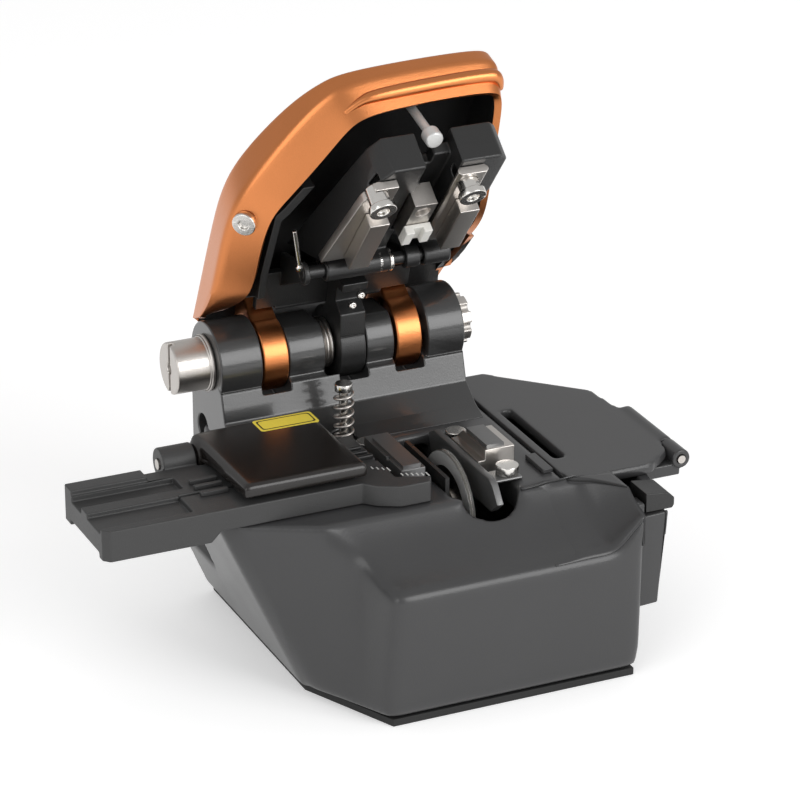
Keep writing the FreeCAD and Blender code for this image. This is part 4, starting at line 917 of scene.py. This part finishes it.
def stage_floor():
    """Wide white floor that glows to the eye and in polished faces, and lights nothing."""
    white = bpy.data.materials.new("Floor white")
    white.use_nodes = True
    tree = white.node_tree
    shader = tree.nodes["Principled BSDF"]
    shader.inputs["Base Color"].default_value = (0.92, 0.92, 0.92, 1)
    shader.inputs["Roughness"].default_value = 0.9
    shader.inputs["Emission Color"].default_value = (1, 1, 1, 1)
    rays = tree.nodes.new("ShaderNodeLightPath").outputs
    seen = worked_out(tree, "MAXIMUM", rays["Is Camera Ray"], rays["Is Glossy Ray"])
    tree.links.new(worked_out(tree, "MULTIPLY", seen, FLOOR_GLOW), shader.inputs["Emission Strength"])
    mesh = bmesh.new()
    bmesh.ops.create_grid(mesh, x_segments=1, y_segments=1, size=6.0)
    data = bpy.data.meshes.new("Floor")
    mesh.to_mesh(data)
    mesh.free()
    data.materials.append(white)
    floor = bpy.data.objects.new("Floor", data)
    bpy.context.scene.collection.objects.link(floor)
    return floor


def softbox(name, power, spot, size):
    """A square lamp aimed at the cleaver."""
    lamp = bpy.data.lights.new(name, "AREA")
    lamp.energy = power
    lamp.size = size
    obj = bpy.data.objects.new(name, lamp)
    obj.location = spot
    obj.rotation_euler = (AIM - Vector(spot)).to_track_quat("-Z", "Y").to_euler()
    bpy.context.scene.collection.objects.link(obj)
    return obj


def stage_camera():
    """Camera to the left of the front, looking down on the deck."""
    lens = bpy.data.cameras.new("Camera")
    lens.lens = CAMERA_LENS
    lens.sensor_width = 36.0
    camera = bpy.data.objects.new("Camera", lens)
    camera.location = CAMERA_SPOT
    camera.rotation_euler = [math.radians(angle) for angle in CAMERA_TURN]
    bpy.context.scene.collection.objects.link(camera)
    bpy.context.scene.camera = camera


# ------------------------------------------------------------------ operators


class CLEAVER_OT_finishes(bpy.types.Operator):
    """Give every solid part its finish"""
    bl_idname = "cleaver.finishes"
    bl_label = "Finishes"

    def execute(self, context):
        make_materials(context.scene.cleaver_paint)
        paint_parts()
        return {"FINISHED"}


class CLEAVER_OT_edges(bpy.types.Operator):
    """Round the edges of the solid parts"""
    bl_idname = "cleaver.edges"
    bl_label = "Edges"

    def execute(self, context):
        width = context.scene.cleaver_casting.edge
        for name, obj in frame["nodes"].items():
            if name in CRISP:
                continue
            soften(obj, width * ROUNDING.get(name, PLAIN_SHARE))
        return {"FINISHED"}


class CLEAVER_OT_housing(bpy.types.Operator):
    """Cast housing with its worn front, the apron at the scoop's end and a black tube of painted shade along the
    seam round the bin
    """
    bl_idname = "cleaver.housing"
    bl_label = "Housing"

    def execute(self, context):
        casting = context.scene.cleaver_casting
        housing = cast_copy("main_housing", "housing_skin", casting.housing_cell, 5, "body", "base")
        wear_front(housing, casting.front_wear)
        open_bore(housing, "plunger_pin")
        scoop_apron()
        bin_seam_shade()
        return {"FINISHED"}


class CLEAVER_OT_bin_cover(bpy.types.Operator):
    """Cast cover of the bin, cut square behind the apron"""
    bl_idname = "cleaver.bin_cover"
    bl_label = "Bin cover"

    def execute(self, context):
        cell = context.scene.cleaver_casting.cover_cell
        cover = cast_copy("bin_cover", "bin_cover_skin", cell, 3, "body", "bin_lid")
        trim_front(cover, COVER_FRONT / 1000)
        return {"FINISHED"}


class CLEAVER_OT_flap(bpy.types.Operator):
    """Smooth black flap of the holder with its shoulder"""
    bl_idname = "cleaver.flap"
    bl_label = "Holder flap"

    def execute(self, context):
        cell = context.scene.cleaver_casting.flap_cell
        cast_copy("holder_cover", "flap_skin", cell, 12, "gloss", "fibre_flap")
        flap_shoulder()
        return {"FINISHED"}


class CLEAVER_OT_lid(bpy.types.Operator):
    """Arched copper lid with its rolled front lip, its two arms and the black shield at the hinge"""
    bl_idname = "cleaver.lid"
    bl_label = "Lid"

    def execute(self, context):
        sizes = context.scene.cleaver_lid
        lid_shell(sizes.wall)
        lid_roll(sizes.lip)
        for number, start in enumerate(ARM_STARTS, start=1):
            lid_arm("lid_arm_%d" % number, start, sizes.arm)
        hinge_shield()
        return {"FINISHED"}


class CLEAVER_OT_blade(bpy.types.Operator):
    """Bright ground band on each face of the blade"""
    bl_idname = "cleaver.blade"
    bl_label = "Blade rim"

    def execute(self, context):
        blade_rim()
        return {"FINISHED"}


class CLEAVER_OT_rods(bpy.types.Operator):
    """Guide rod, magnet and stay inside the lid"""
    bl_idname = "cleaver.rods"
    bl_label = "Rods in the lid"

    def execute(self, context):
        guide_rod()
        lid_magnet()
        stay_rod()
        return {"FINISHED"}


class CLEAVER_OT_clamp_plate(bpy.types.Operator):
    """Right clamp's carrier with its low side wall"""
    bl_idname = "cleaver.clamp_plate"
    bl_label = "Clamp plate"

    def execute(self, context):
        clamp_plate()
        return {"FINISHED"}


class CLEAVER_OT_screws(bpy.types.Operator):
    """Domed screws on the lever and washers on the head's pivot"""
    bl_idname = "cleaver.screws"
    bl_label = "Screws and washers"

    def execute(self, context):
        pivot_washers()
        for number, spot in enumerate(LEVER_SCREWS, start=1):
            turned("lever_screw_%d" % number, SCREW_PROFILE, spot, LEVER_FACE, "bright", "lid_arm")
        return {"FINISHED"}


class CLEAVER_OT_tongue(bpy.types.Operator):
    """Fins and pale scale ticks on the holder's tongue"""
    bl_idname = "cleaver.tongue"
    bl_label = "Fins and scale"

    def execute(self, context):
        tongue_fins()
        scale_ticks(context.scene.cleaver_marks)
        return {"FINISHED"}


class CLEAVER_OT_patch(bpy.types.Operator):
    """Plain yellow patch with a dark border on the flap"""
    bl_idname = "cleaver.patch"
    bl_label = "Patch"

    def execute(self, context):
        flap_patch(context.scene.cleaver_marks.thick)
        return {"FINISHED"}


class CLEAVER_OT_stage(bpy.types.Operator):
    """Set the floor, the lights and the camera"""
    bl_idname = "cleaver.stage"
    bl_label = "Stage"

    def execute(self, context):
        scene = context.scene
        light = scene.cleaver_light
        world = bpy.data.worlds.new("Studio")
        world.use_nodes = True
        sky = world.node_tree.nodes["Background"]
        sky.inputs["Color"].default_value = (1, 1, 1, 1)
        sky.inputs["Strength"].default_value = light.room
        scene.world = world
        floor = stage_floor()
        key = softbox("Key", light.key, KEY_SPOT, light.spread)
        fill = softbox("Fill", light.fill, FILL_SPOT, light.spread)
        stage_camera()
        scene.view_settings.view_transform = "Standard"
        return {"FINISHED"}


STEPS = (CLEAVER_OT_finishes, CLEAVER_OT_edges, CLEAVER_OT_housing, CLEAVER_OT_bin_cover, CLEAVER_OT_flap,
         CLEAVER_OT_lid, CLEAVER_OT_blade, CLEAVER_OT_rods, CLEAVER_OT_clamp_plate, CLEAVER_OT_screws,
         CLEAVER_OT_tongue, CLEAVER_OT_patch, CLEAVER_OT_stage)


class CLEAVER_PT_panel(bpy.types.Panel):
    """Settings and steps of the cleaver"""
    bl_label = "Fibre cleaver"
    bl_idname = "CLEAVER_PT_panel"
    bl_space_type = "VIEW_3D"
    bl_region_type = "UI"
    bl_category = "Cleaver"

    def draw(self, context):
        for setting in SETTINGS:
            group = getattr(context.scene, setting)
            column = self.layout.column(align=True)
            for name in group.__annotations__:
                column.prop(group, name)
        for step in STEPS:
            self.layout.operator(step.bl_idname)


CLASSES = (*SETTINGS.values(), *STEPS, CLEAVER_PT_panel)


def register():
    for cls in CLASSES:
        bpy.utils.register_class(cls)
    for setting, cls in SETTINGS.items():
        setattr(bpy.types.Scene, setting, PointerProperty(type=cls))


def unregister():
    for setting in SETTINGS:
        delattr(bpy.types.Scene, setting)
    for cls in reversed(CLASSES):
        bpy.utils.unregister_class(cls)


def main():
    """Make every piece in order."""
    register()
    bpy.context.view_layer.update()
    bpy.ops.cleaver.finishes()
    bpy.ops.cleaver.edges()
    bpy.ops.cleaver.housing()
    bpy.ops.cleaver.bin_cover()
    bpy.ops.cleaver.flap()
    bpy.ops.cleaver.lid()
    bpy.ops.cleaver.blade()
    bpy.ops.cleaver.rods()
    bpy.ops.cleaver.clamp_plate()
    bpy.ops.cleaver.screws()
    bpy.ops.cleaver.tongue()
    bpy.ops.cleaver.patch()
    bpy.ops.cleaver.stage()


if __name__ == "__main__":
    main()
